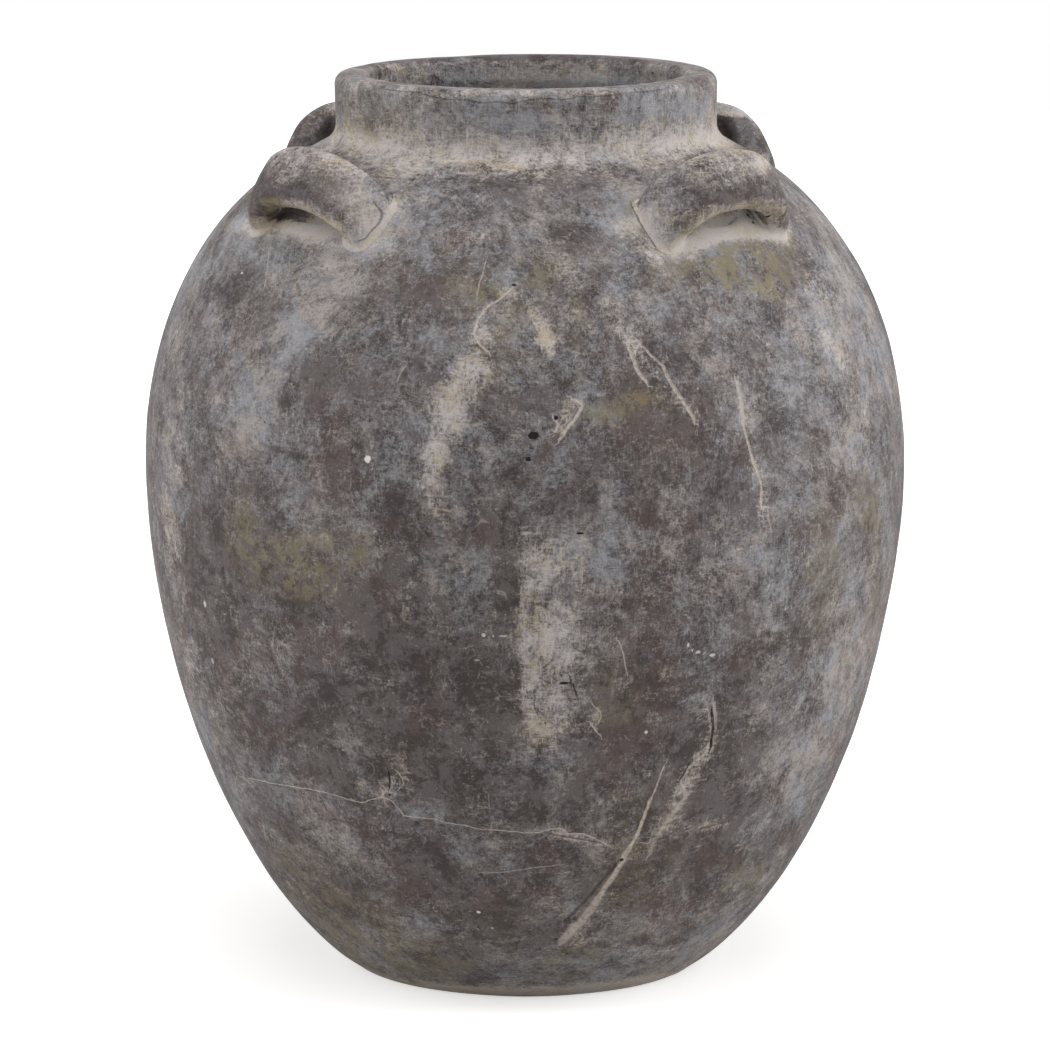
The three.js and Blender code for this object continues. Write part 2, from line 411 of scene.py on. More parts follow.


# Marks, placed in pixels of the photograph's 1050 x 1050 frame, with more of them where the render was
# still paler or darker. Each soft spot is (x, y, half width, half height, strength in hundredths), and
# where it leans, the degrees clockwise.
wallSpots = {
    "dust": [  # pale blue-grey dust, and with a minus sign the clean dark clay; some minus spots, marked below, are painted shadow
        (470, 205, 130, 26, 10), (585, 220, 60, 34, 12), (265, 364, 34, 48, 42, 10), (245, 440, 30, 50, 26),
        (351, 278, 20, 18, 28), (300, 300, 30, 40, 12), (690, 335, 60, 55, 16), (775, 330, 55, 50, 24),
        (640, 300, 34, 40, 14), (850, 330, 24, 60, 34, -15), (870, 430, 20, 60, 30, -8),
        (790, 420, 40, 50, 10), (610, 552, 30, 34, 30), (705, 590, 40, 62, 24, 15), (755, 560, 40, 40, 16),
        (463, 570, 36, 30, 22), (430, 600, 26, 30, 16), (350, 631, 18, 3, 42), (349, 738, 15, 14, 36),
        (349, 764, 10, 9, 30), (272, 661, 28, 26, 32), (404, 677, 22, 9, 32), (215, 700, 22, 70, 20, 12),
        (250, 780, 30, 40, 26, 20), (300, 795, 45, 28, 22, 12), (340, 847, 60, 30, 30, 14),
        (485, 855, 42, 24, 32), (440, 832, 40, 14, 20, 8), (810, 775, 24, 44, 52, 18),
        (745, 835, 22, 70, 34, 26), (832, 690, 24, 30, 30, 15), (890, 660, 20, 60, 40, 10),
        (850, 600, 26, 50, 20, 8), (600, 850, 40, 50, 14), (405, 925, 34, 12, 24, 8),
        (560, 905, 44, 20, 14), (225, 560, 26, 60, 12), (200, 400, 24, 60, 22), (400, 350, 34, 46, 10),
        (290, 480, 30, 40, 12), (520, 520, 40, 30, 10), (660, 480, 30, 40, 6), (640, 620, 30, 20, 12),
        (690, 905, 60, 30, 12, -10), (780, 880, 26, 50, 20, 35), (303, 388, 26, 34, -55),
        (345, 300, 34, 26, -22), (420, 292, 44, 34, -22), (235, 285, 18, 40, -24), (505, 385, 34, 50, -26),
        (600, 455, 44, 40, -22), (405, 560, 26, 70, -30), (330, 600, 30, 34, -22), (505, 590, 14, 60, -40),
        (470, 690, 60, 66, -34), (660, 625, 34, 60, -26), (640, 745, 50, 50, -22), (560, 800, 46, 22, -18),
        (330, 695, 34, 40, -20), (395, 720, 26, 50, -26), (440, 770, 50, 36, -22), (650, 900, 40, 36, -22),
        (715, 865, 34, 44, -26, 30), (440, 895, 66, 26, -18), (330, 880, 34, 26, -20),
        (715, 790, 26, 22, -30), (835, 470, 22, 60, -14), (690, 440, 34, 36, -20), (560, 860, 40, 20, -14),
        (370, 460, 34, 50, -14), (640, 540, 26, 34, -10), (275, 330, 14, 30, -12), (225, 640, 20, 60, -12),
        (520, 440, 26, 44, -14), (760, 660, 40, 50, -16), (800, 540, 26, 50, -12), (500, 940, 90, 26, -14),
        (860, 740, 18, 40, -10), (500, 930, 170, 50, -5), (525, 54, 170, 6, -70),
        (310, 800, 60, 60, -16, 20), (520, 870, 120, 40, -10), (215, 470, 24, 110, -28),
        (332, 396, 24, 24, -20), (545, 200, 66, 40, -26), (575, 246, 24, 20, -22), (772, 330, 46, 54, -42),
        (495, 490, 34, 38, -38), (615, 610, 22, 24, -28), (705, 580, 24, 66, -38), (420, 570, 40, 36, -16),
        (275, 625, 46, 54, -18), (350, 770, 46, 36, -32), (498, 790, 60, 24, -32),
        (320, 850, 40, 50, -22, 20), (545, 880, 60, 26, -20), (768, 866, 40, 56, -26, 35),
        (788, 662, 20, 28, -24), (850, 322, 26, 20, -22), (856, 602, 20, 18, -22),
        (720, 160, 34, 18, -22, -20), (300, 180, 46, 24, -20, 20), (220, 250, 26, 36, 22),
        (318, 300, 18, 26, 36, 20), (288, 342, 22, 26, 28), (272, 410, 14, 44, 20), (388, 450, 26, 46, 26),
        (530, 372, 46, 14, 30), (810, 390, 34, 28, 36), (842, 442, 18, 30, 34), (748, 420, 18, 28, 26),
        (850, 640, 22, 24, 42), (790, 740, 28, 32, 36, 15), (704, 710, 22, 16, 24), (552, 76, 70, 9, 40),
        (385, 128, 24, 30, 20), (655, 112, 46, 22, 26), (525, 760, 330, 230, -10), (525, 320, 380, 150, 10),
        (318, 110, 24, 16, -60), (560, 172, 70, 12, -34), (720, 158, 40, 14, -24, -20),
        (470, 180, 60, 14, -16), (650, 380, 30, 40, -24, -30), (745, 372, 30, 26, -20),
        (225, 545, 22, 50, -16), (575, 248, 34, 22, -24), (330, 580, 30, 40, -14),
        (345, 160, 20, 14, -20, 30), (735, 222, 30, 8, 50), (625, 205, 14, 26, 36), (345, 246, 28, 16, 30),
        (352, 196, 24, 20, 26), (374, 232, 22, 20, 22), (682, 196, 20, 18, 30), (704, 254, 44, 16, 30, -8),
        (765, 248, 26, 16, 26, 20), (418, 214, 18, 16, 16), (196, 275, 24, 30, 24, 20),
        (292, 326, 22, 16, 16), (510, 364, 30, 14, 20, 20), (500, 456, 28, 14, 26), (362, 486, 16, 16, 16),
        (340, 560, 16, 12, 20), (566, 545, 18, 30, 20), (576, 596, 16, 26, 20), (804, 416, 22, 14, 20),
        (880, 386, 22, 34, 26, -8), (800, 500, 18, 26, 22), (822, 664, 18, 22, 24),
        (838, 722, 20, 22, 22, 10), (640, 712, 26, 14, 16), (604, 494, 16, 26, 16), (652, 852, 20, 18, 18),
        (288, 782, 14, 20, 18), (284, 830, 12, 14, 20), (212, 722, 18, 26, 18, 12), (580, 82, 40, 7, 30),
        (640, 92, 24, 12, 20), (700, 930, 36, 20, 14, -20), (620, 150, 24, 14, 20), (585, 690, 10, 30, 10),
        # painted shadow: the first spot on the next line darkens the opening under the front-left strap
        (287, 213, 22, 8, -160, 8), (730, 128, 16, 22, 90), (358, 214, 24, 24, 30, -30),
        # painted shadow: the spots at (524, 93) and (560, 107) on the next line, and at (430, 108) on the
        # line after, darken a thin line under the front of the rim's lip
        (660, 222, 24, 22, 30, 30), (524, 93, 110, 5, -30), (500, 70, 120, 10, -26), (560, 107, 60, 5, -24),
        (430, 108, 40, 5, -14), (380, 232, 20, 26, 20), (315, 152, 34, 10, -34, 18),
        (272, 196, 28, 8, -50, -10), (722, 162, 36, 12, -34, -18), (742, 200, 34, 8, -40, 10),
        (248, 226, 20, 10, 30), (330, 240, 54, 10, 30, 8), (440, 57, 80, 5, -30),
        (222, 268, 44, 26, 20, -35), (872, 300, 18, 50, 20, -20), (528, 524, 12, 16, -26),
        (564, 428, 14, 18, -22), (676, 384, 20, 14, -20), (380, 328, 14, 10, 20), (370, 373, 14, 12, 20),
        (655, 320, 14, 22, 20), (470, 780, 100, 34, -10), (340, 720, 60, 22, -10), (330, 778, 12, 20, -14),
        # partly dust, partly painted light: the last spot on the next line lightens the wall under the
        # front-right strap, which the strap shades
        (322, 600, 100, 90, -7), (310, 105, 16, 18, -50), (722, 236, 50, 12, 30, -6),
        (520, 116, 120, 14, 10), (490, 850, 110, 70, -10), (343, 300, 40, 26, 14, -20),
        (558, 80, 40, 10, 20), (290, 380, 20, 60, 16), (770, 358, 14, 14, -20), (560, 205, 26, 12, -16),
        (572, 86, 26, 8, 20), (718, 796, 22, 12, -16), (215, 480, 40, 110, -12), (590, 110, 40, 14, 16),
        (300, 300, 60, 26, 10, -20), (645, 216, 18, 20, 26), (756, 226, 18, 12, 24), (600, 152, 24, 16, 20),
        (510, 136, 22, 8, 18), (241, 226, 14, 14, 20), (386, 440, 16, 16, 20), (512, 386, 22, 12, 18),
        (880, 402, 18, 24, 16, -8), (802, 524, 16, 18, 16), (700, 702, 30, 16, 14), (242, 482, 12, 16, 20),
        (786, 772, 12, 14, 20), (585, 245, 18, 12, -20), (616, 592, 18, 16, -26), (602, 682, 10, 22, -22),
        (466, 838, 24, 16, -26), (440, 800, 34, 16, -18), (352, 862, 22, 20, -20), (460, 542, 24, 18, -18),
        (424, 620, 14, 36, -18), (240, 566, 16, 20, -16), (572, 940, 16, 16, -20),
        (725, 918, 22, 16, -18, -30), (760, 862, 20, 18, -18), (820, 772, 12, 24, -18, 20),
        (650, 662, 18, 20, -16), (840, 622, 12, 12, -24), (340, 702, 22, 20, -14), (450, 128, 24, 10, -20),
        (285, 194, 26, 10, -16, 10), (345, 160, 16, 12, -26, 30), (205, 396, 22, 24, -26),
        (236, 540, 14, 34, -22), (490, 520, 28, 26, -26), (350, 520, 26, 12, -12), (328, 645, 22, 16, -22),
        (742, 580, 18, 18, -30), (852, 620, 12, 12, -26), (676, 492, 12, 26, -22), (750, 400, 14, 18, -18),
        (612, 290, 14, 16, -26), (710, 812, 18, 14, -20), (565, 372, 12, 40, -18, -24),
        (470, 745, 26, 14, -12), (794, 316, 14, 14, -18), (630, 548, 40, 18, 24), (568, 552, 16, 22, 20),
        (885, 370, 12, 40, 26, -10), (388, 488, 22, 14, 22), (655, 712, 16, 18, 20), (840, 432, 20, 26, 20),
    ],
    "slip": [  # pale beige slip, rubbed thin; some spots, marked below, are painted light and shadow
        (564, 556, 32, 30, 46), (536, 560, 15, 36, 46), (560, 634, 36, 34, 52), (552, 690, 32, 44, 46),
        (546, 738, 26, 20, 40), (526, 650, 6, 96, 34), (492, 324, 11, 18, 50, 26),
        (478, 350, 16, 24, 64, 22), (460, 388, 20, 34, 72, 18), (443, 434, 18, 38, 74, 10),
        (431, 484, 15, 34, 70), (536, 312, 8, 14, 60, -26), (545, 334, 9, 18, 80, -22),
        (505, 294, 8, 8, 50, 40), (490, 306, 9, 8, 50, 40), (477, 322, 7, 14, 50, 10),
        (560, 262, 22, 12, 30, 30), (566, 410, 10, 14, 40), (173, 470, 12, 100, 44, 2),
        (182, 600, 10, 70, 36, -6), (200, 690, 10, 60, 24, -14), (310, 230, 44, 12, 46, 4),
        (258, 230, 12, 12, 30), (385, 216, 16, 26, 50, 20), (646, 228, 14, 26, 50, -26),
        (690, 243, 34, 10, 52, -22), (776, 236, 16, 12, 50, 30), (730, 226, 26, 8, 40, -10),
        (632, 342, 12, 18, 58, -10), (655, 370, 6, 26, 40, -38), (682, 398, 6, 22, 44, -34),
        (740, 402, 6, 22, 50, -6), (754, 462, 8, 46, 50, -12), (764, 520, 7, 26, 40, -4),
        (549, 354, 9, 8, 40), (514, 292, 5, 8, 40), (693, 776, 14, 22, 50, 20), (703, 755, 12, 14, 40, 20),
        (672, 812, 9, 34, 46, 26), (395, 783, 18, 18, 52), (401, 756, 5, 14, 42, 10),
        (604, 905, 14, 34, 30, 38), (575, 934, 18, 14, 30, 30), (640, 954, 30, 6, 44),
        (676, 951, 14, 5, 44, -14), (575, 836, 34, 8, 44, 12), (716, 824, 26, 6, 44, -14),
        (754, 812, 10, 6, 36, -50), (838, 352, 9, 34, 40, -20), (866, 408, 5, 22, 34, -6),
        (820, 300, 12, 40, 26, -24), (560, 424, 12, 12, 30), (900, 560, 5, 60, 20, 4),
        (400, 620, 10, 10, 26), (600, 340, 20, 40, 10), (596, 716, 6, 12, 40), (470, 250, 60, 20, 10),
        (390, 260, 30, 24, 18), (388, 140, 26, 18, 30), (655, 138, 50, 18, 42), (510, 144, 44, 12, 26),
        (360, 206, 16, 22, 40, 20), (308, 224, 22, 7, 60, 4), (736, 229, 42, 9, 70, -8),
        # painted light: the last spot on the next line and the first on the line after lighten the base's
        # edge, as light thrown up from the floor
        (662, 205, 20, 24, 36), (538, 574, 36, 20, 24), (612, 986, 100, 7, 85, -4),
        (470, 993, 70, 5, 80, 3), (525, 52, 180, 7, -60), (318, 110, 24, 16, -60),
        (300, 150, 30, 12, -20, 10), (725, 155, 40, 12, -20, -10), (695, 772, 10, 12, -20, 20),
        # painted shadow and painted highlight: the spot at (287, 213) darkens the opening under the
        # front-left strap, and the one at (524, 92) lightens the front of the rim's lip
        (766, 160, 7, 14, 50, 20), (287, 213, 22, 8, -200, 8), (524, 92, 110, 5, 48),
        (370, 84, 26, 5, 36, -14), (670, 84, 28, 5, 16, 14), (272, 197, 28, 8, -60, -10),
        (742, 200, 34, 8, -40, 10), (335, 238, 50, 8, 34, 8), (548, 640, 24, 40, 30),
        (546, 716, 22, 34, 28), (556, 572, 24, 32, 12), (528, 298, 7, 14, 34, -26),
        # partly slip, partly painted light: the spot at (722, 238) lightens the wall under the front-right
        # strap, which the strap shades
        (550, 344, 7, 14, 30, -10), (722, 238, 50, 8, 50, -6), (343, 300, 40, 26, -14, -20),
        (588, 320, 24, 24, -10), (632, 715, 24, 20, -10), (250, 228, 22, 9, 40), (556, 78, 40, 10, 20),
        (765, 236, 24, 9, 36), (680, 250, 26, 15, 34, -20), (400, 168, 40, 9, 30), (490, 166, 44, 9, 30),
        (440, 57, 80, 5, -30), (492, 330, 10, 12, -24, 26), (500, 70, 110, 9, 30), (420, 72, 26, 8, 24),
        (355, 210, 22, 24, 26, -30), (662, 220, 20, 20, 22, 30), (398, 205, 14, 30, 30),
        (628, 220, 14, 34, 34, -16), (308, 227, 30, 6, 60, 6), (738, 234, 40, 6, 40), (602, 74, 30, 9, 30),
        (440, 100, 40, 8, 20), (690, 772, 8, 26, 20, 26), (712, 724, 8, 28, 46), (576, 838, 34, 5, 40, 12),
    ],
    "ochre": [
        (310, 222, 40, 10, 30, 4), (735, 226, 50, 14, 34), (365, 128, 24, 26, 34), (735, 252, 50, 26, 32),
        (745, 282, 40, 16, 16), (750, 211, 26, 8, 35), (272, 240, 36, 14, 24), (747, 122, 14, 20, 30),
        (420, 252, 34, 18, 18), (470, 968, 120, 14, 22), (342, 883, 30, 26, -14), (270, 582, 40, 22, -14),
        (588, 320, 24, 24, -10), (500, 920, 130, 40, 10), (730, 128, 16, 20, 80), (345, 128, 16, 24, 50),
        (480, 152, 60, 6, 40), (640, 146, 60, 8, 40), (635, 215, 8, 20, 50), (765, 285, 32, 18, 80),
        (640, 406, 28, 14, 80), (600, 412, 18, 12, 60), (870, 505, 14, 30, 70), (580, 318, 9, 34, 50),
        (712, 262, 50, 30, 55), (290, 556, 48, 34, 65), (352, 549, 26, 16, 60), (480, 292, 34, 24, 55),
        (545, 270, 26, 16, 50), (290, 232, 18, 8, 80), (320, 905, 60, 50, 50, 30),
        (400, 955, 60, 20, 45, 14), (748, 878, 34, 18, 40), (303, 583, 26, 20, 50), (500, 330, 22, 34, 45),
        (770, 250, 20, 14, 60), (820, 560, 20, 60, 35), (640, 860, 40, 60, 30, 20), (880, 600, 12, 50, 30),
        (268, 552, 14, 16, 60), (245, 520, 14, 40, 30), (620, 690, 30, 34, 25), (570, 955, 34, 10, 40),
    ],
}

backSpots = {  # the side away from the camera, in the same frame seen from behind
    "dust": [
        (420, 230, 90, 34, 26), (620, 290, 80, 50, 24, 10), (300, 420, 40, 70, 26), (760, 480, 50, 80, 24),
        (520, 560, 70, 50, 20, 20), (380, 700, 60, 50, 24), (640, 800, 70, 40, 26, -10),
        (480, 890, 80, 24, 18), (240, 620, 30, 70, 22), (840, 640, 30, 70, 26, 8), (470, 380, 80, 60, -26),
        (640, 470, 60, 50, -24), (360, 560, 50, 60, -24), (560, 690, 60, 60, -28), (730, 700, 50, 60, -22),
        (420, 820, 70, 34, -22), (300, 300, 40, 40, -18), (720, 360, 40, 50, -20),
    ],
    "slip": [
        (360, 480, 20, 60, 40, 12), (600, 620, 24, 70, 44, -8), (700, 300, 14, 40, 36, -24),
        (430, 860, 50, 12, 36, 6), (800, 560, 8, 60, 34, 4), (250, 500, 10, 70, 30), (520, 300, 24, 16, 30),
        (480, 950, 60, 6, 34),
    ],
    "ochre": [
        (340, 330, 50, 34, 50), (680, 560, 50, 50, 50), (460, 640, 50, 34, 40), (560, 930, 80, 24, 40),
        (260, 720, 30, 60, 40),
    ],
}

# Lines as (width in millimetres, strength, points in the photograph's pixels).
wallLines = {
    "scratch": [
        (0.55, 0.95, [(249, 778), (270, 783), (288, 786), (309, 789), (326, 793), (341, 797), (353, 801),
            (362, 803), (370, 800), (381, 797), (393, 802), (404, 816), (419, 818), (433, 819), (448, 823),
            (466, 826), (479, 829), (491, 830), (512, 832), (538, 833), (546, 830), (561, 828), (567, 834),
            (584, 834), (596, 839), (607, 845)]),
        (1.6, 0.9, [(629, 347), (633, 358), (637, 370), (642, 377), (647, 382)]),
        (1.8, 0.7, [(737, 382), (741, 402), (743, 423)]),
        (1.2, 0.8, [(743, 423), (746, 436), (753, 461), (761, 486), (761, 505)]),
        (1.4, 0.7, [(555, 420), (559, 425), (556, 432), (562, 430)]),
        (1.4, 1, [(574, 399), (580, 402), (582, 406), (579, 413), (575, 420), (567, 429), (560, 439)]),
        (1, 0.9, [(514, 286), (503, 297), (488, 306), (479, 317), (474, 334), (480, 345), (487, 350)]),
        (0.6, 0.8, [(618.5, 642), (623, 652), (626, 671)]),
        (0.6, 0.8, [(582, 564), (582.7, 581)]),
        (0.7, 0.85, [(591, 725), (600, 735)]),
        (0.5, 0.7, [(264, 827), (266, 840)]),
        (0.6, 0.6, [(483, 873), (504, 872), (517, 870), (528, 869), (540, 867), (561, 865)]),
        (0.5, 0.7, [(641, 843), (649, 844)]),
        (0.6, 0.6, [(269, 251), (268, 268), (265, 286)]),
        (0.6, 0.8, [(404, 368), (399, 377)]),
        (0.6, 0.7, [(486, 261), (483, 273), (479, 284), (477, 295)]),
        (0.6, 0.6, [(768, 511), (770, 528)]),
        (1.6, 0.6, [(713, 702), (715, 714), (715, 728)]),
        (1.6, 0.6, [(711, 728), (712, 740), (711, 748), (701, 757), (693, 764), (686, 771), (681, 778)]),
        (2.2, 0.5, [(681, 778), (684, 788), (686, 796), (680, 803), (672, 815), (666, 824), (660, 832),
            (653, 843), (649, 855)]),
    ],
    "branch": [
        (1.2, 0.85, [(643, 347), (653, 357), (663, 366)]),
        (1.6, 0.8, [(663, 366), (668, 377), (673, 387), (683, 401), (694, 420)]),
        (0.8, 1, [(664, 766), (659, 780), (651, 799)]),
        (1.6, 1, [(651, 799), (644.5, 816), (637, 836), (632, 845)]),
        (2.6, 0.95, [(632, 845), (626, 853), (622, 862), (615, 874), (607, 885), (599, 897)]),
        (4.2, 0.8, [(599, 897), (592, 908), (582, 920), (571, 931), (563, 941)]),
        (0.6, 0.8, [(593, 705), (600, 711), (602, 717), (598, 723)]),
        (0.7, 0.7, [(381, 797), (386, 790), (380, 784)]),
        (0.6, 0.7, [(395, 770), (401, 776), (404, 784), (398, 790)]),
        (0.7, 0.7, [(560, 424), (555, 432)]),
        (0.6, 0.5, [(530, 310), (534, 322), (540, 336), (548, 350)]),
    ],
    "crack": [
        (0.6, 0.5, [(393, 197), (389, 212), (382, 223), (370, 237), (364, 240)]),
        # painted shadow: the next line is a dark line under the front of the rim's lip, not a crack
        (0.6, 0.36, [(386, 90), (420, 93), (443, 99), (465, 100), (483, 103), (500, 102), (513, 104),
            (530, 100), (548, 99), (563, 100), (580, 97), (597, 97), (630, 93), (663, 90)]),
        (0.8, 0.6, [(632, 207), (638, 220), (648, 236), (655, 246)]),
        (0.7, 1, [(388.8, 772.6), (389.7, 778), (389.2, 788)]),
        (1.3, 1, [(711.3, 713), (712.2, 722)]),
        (1.4, 1, [(712.8, 727), (711.4, 737), (710.3, 748)]),
        (1, 0.9, [(686, 769), (680.8, 778.5)]),
        (0.7, 0.8, [(573, 685), (577, 697)]),
        (0.5, 0.7, [(535, 696), (534, 704), (536, 711)]),
        (1.6, 0.6, [(615, 866), (606, 876), (597, 887), (586, 900), (575, 911), (567, 918)]),
    ],
}

# Pits and specks as (x, y, width and height in millimetres, strength).
wallPits = {
    "pit": [
        (533.7, 435.8, 4.4, 3.1, 1.4), (528.5, 459, 2.1, 1.9, 1.3), (556, 418, 1.6, 1.6, 1.4),
        (580, 533.3, 3.4, 0.9, 1), (564, 683, 4, 1.2, 1), (514, 285, 1.8, 1.2, 0.9),
        (389.5, 795, 1.3, 1, 1), (621.5, 860, 2, 1.6, 1), (556, 939, 1.6, 1.4, 0.9),
        (541, 657, 1.4, 1.2, 0.5), (575.4, 699, 1.8, 0.6, 0.8), (748, 215, 1.2, 2.6, 1),
        (753.5, 222.5, 1.2, 1.4, 1),
    ],
    "speck": [
        (368, 459, 3, 3.2, 1), (483.6, 635, 1.8, 1.8, 0.7), (502.7, 636, 3.4, 1, 0.45),
        (477, 660, 2.6, 1, 0.35), (646, 732, 1.6, 1.6, 0.8), (698, 652, 2.4, 1.4, 0.6),
        (688, 645, 1.2, 2, 0.6), (205.5, 604, 2.4, 3, 0.7), (213, 661, 2, 3, 0.5),
        (478.6, 912, 1.9, 1.7, 0.9), (492.5, 928, 1.1, 1, 0.6), (866, 710, 3, 1.6, 0.6),
        (242, 273, 1.8, 1.4, 0.6),
    ],
}

# Noise pushes the edges of the soft spots about: (size in metres, pixels, seed). Spots with a half
# width under the last value are pushed less.
spotEdges = {"layers": ((0.026, 26, 51), (0.010, 12, 53)), "fullFrom": 26}
sightSearch = {"nearer": 0.25, "farther": 0.05, "steps": 3000}  # metres from the camera's distance
markFields = {  # distances in millimetres over which a mark's strength fades out, and the field's limit
    "line": {"fade": (2.6, 4.6), "limit": 6},
    "pit": {"fade": (3.5, 5.5), "limit": 20},
}


def softSpots(x, y, push, spots):
    # Each spot adds its strength times exp of minus the cubes of the distances in half widths and half
    # heights, which makes it a little square. Noise pushes the edges about, less for a narrow spot.
    total = np.zeros(len(x))
    for spotX, spotY, halfWidth, halfHeight, strength, *lean in spots:
        turn = np.radians(sum(lean))
        pushed = min(1, min(halfWidth, halfHeight) / spotEdges["fullFrom"])
        offX, offY = x + pushed * push[0] - spotX, y + pushed * push[1] - spotY
        across = (offX * np.cos(turn) + offY * np.sin(turn)) / halfWidth
        down = (-offX * np.sin(turn) + offY * np.cos(turn)) / halfHeight
        total += strength / 100 * np.exp(-np.minimum(np.abs(across) ** 3 + np.abs(down) ** 3, 30))
    return total


def onWall(x, y):
    # Where a sight line first meets the wall: its turn and its length along the skin.
    place, forward, right, up = sightlines()
    middle = view["frameSize"] / 2
    ray = (forward + (x - middle) / view["focalPixels"] * right - (y - middle) / view["focalPixels"] * up)
    search = np.linspace(-sightSearch["nearer"], sightSearch["farther"], sightSearch["steps"])
    points = place + (view["distance"] + search[:, None]) * ray
    outside = radiusOf(points) - np.interp(points[:, 2], skinLine[:, 1], skinLine[:, 0])
    hit = points[np.argmax(outside < 0)]
    return np.arctan2(hit[1], hit[0]), alongAt(hit[2])


def offsets(skin, place):
    # Distances in millimetres round the jar and up along the skin, from a place on it.
    turn, along, radius = skin
    return turnFrom(place[0], turn) * radius * 1000, (along - place[1]) * 1000


def lineParts(skin, lines):
    # For each stretch of each line: the distance to it, the same with a sign for the side, the line's
    # half width and its strength.
    for width, strength, points in lines:
        places = [onWall(x, y) for x, y in points]
        for start, end in zip(places[:-1], places[1:]):
            x, y = offsets(skin, start)
            runX, runY = (end[0] - start[0]) * skin[2] * 1000, (end[1] - start[1]) * 1000
            length = np.hypot(runX, runY) + 1e-6
            share = np.clip((x * runX + y * runY) / length ** 2, 0, 1)
            gap = np.hypot(x - share * runX, y - share * runY)
            yield gap, gap * np.where(x * runY - y * runX > 0, 1.0, -1.0), width / 2, strength


def pitParts(skin, pits):
    # For each pit: the distance to it, the same sideways and upwards in its own half widths and half
    # heights, and its strength.
    for pitX, pitY, width, height, strength in pits:
        x, y = offsets(skin, onWall(pitX, pitY))
        yield np.hypot(x, y), x / (width / 2), y / (height / 2), strength


def nearestMark(count, parts, fade, limit):
    # What the nearest mark gives for each vertex. Its strength fades out away from it.
    nearest = np.full(count, 1e3)
    field = np.zeros((count, 3))
    for gap, *values in parts:
        closer = gap < nearest
        nearest = np.where(closer, gap, nearest)
        for column, value in enumerate(values):
            field[:, column] = np.where(closer, value, field[:, column])
    field[:, 2] *= 1 - smoothStep(*fade, nearest)
    return np.clip(field, -limit, limit)


slipAndLightBands = {  # patches vary by noise: size in metres, seed, least, and what the noise adds; the base band is painted light
    "collarHeight": 0.3925, "collarReach": 0.0085, "collarStrength": 0.66,
    "collarPatches": (0.03, 61, 0.75, 0.5),
    "feetReach": 0.0030, "feetStrength": 0.26, "feetPatches": (0.012, 62, 0.3, 1.2),
    "upperHeights": (0.372, 0.400), "upperDust": 0.14, "upperSlip": 0.16,
    "shelterStrength": 0.95, "shelterHeights": (0.34, 0.39), "shelterReach": (2.1, 0.9),
    # painted light: a pale band along the base's edge stands for light thrown up from the floor, laid as
    # slip
    "baseReach": 0.008, "baseStrength": 1.10,
    "outside": (-0.2, 0.2), "rimDepth": 0.03,  # marks stay on faces that look outwards, and on the rim
}


def patches(points, size, seed, least, more):
    return least + more * latticeNoise(points, size, seed)


def slipAndPaintedBaseLight(points):
    # Pale slip left in the hollow under the collar, round the handles' feet and on the sheltered wall under
    # each strap, and a painted band of light thrown up from the floor along the base, laid as slip: each
    # falls off as exp of minus a square, or by a smooth step.
    rise = (points[:, 2] - slipAndLightBands["collarHeight"]) / slipAndLightBands["collarReach"]
    band = slipAndLightBands["collarStrength"] * np.exp(-rise ** 2) * patches(points, *slipAndLightBands["collarPatches"])
    feet = slipAndLightBands["feetStrength"] * np.exp(-(gapToFeet(points) / slipAndLightBands["feetReach"]) ** 2)
    low, high = slipAndLightBands["shelterHeights"]
    onShoulder = (points[:, 2] > low) & (points[:, 2] < high)
    sheltered = (slipAndLightBands["shelterStrength"] * smoothStep(*slipAndLightBands["shelterReach"], nearHollow(points))
                 * onShoulder)
    # painted light thrown up from the floor along the base's edge
    base = slipAndLightBands["baseStrength"] * np.exp(-(points[:, 2] / slipAndLightBands["baseReach"]) ** 2)
    return band + sheltered + base + feet * patches(points, *slipAndLightBands["feetPatches"])


def markWall(mesh):
    # Soft spots from both sides of the jar, and lines and pits laid along the skin.
    points, normals = readRows(mesh.vertices, "co"), readRows(mesh.vertex_normals, "vector")
    radius = radiusOf(points)
    outer = smoothStep(*slipAndLightBands["outside"], np.sum(normals[:, :2] * points[:, :2], axis=1) / radius)
    outer = np.maximum(outer, points[:, 2] > wall["jarHeight"] - slipAndLightBands["rimDepth"])
    push = [uneven(points, spotEdges["layers"], first) for first in (0, 1)]
    sides = [(pictureOf(points, normals), wallSpots), (pictureOf(points, normals, halfTurn=True), backSpots)]
    upwards = smoothStep(*slipAndLightBands["upperHeights"], points[:, 2])
    everywhere = {"dust": slipAndLightBands["upperDust"] * upwards,
                  "slip": slipAndLightBands["upperSlip"] * upwards + slipAndPaintedBaseLight(points),
                  "ochre": 0}
    for name, extra in everywhere.items():
        value = sum(seen * softSpots(x, y, push, spots[name]) for (x, y, seen), spots in sides) + extra
        give(mesh, name, value * outer)
    skin = np.arctan2(points[:, 1], points[:, 0]), alongAt(points[:, 2]), radius
    for kind, measure, marks in (("line", lineParts, wallLines), ("pit", pitParts, wallPits)):
        for name, rows in marks.items():
            field = nearestMark(len(points), measure(skin, rows), **markFields[kind])
            field[:, 2] *= outer
            give(mesh, name, field)


def addPiece(name, mesh, node, material):
    # Lays the marks out on a mesh and makes it the piece that stands for a node.
    markWall(mesh)
    piece = bpy.data.objects.new(name, mesh)
    sceneObjects.link(piece)
    mesh.materials.append(material)
    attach(piece, "root")
    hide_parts(node)
    print(f"{name}: {len(mesh.vertices)} points")
    return mesh


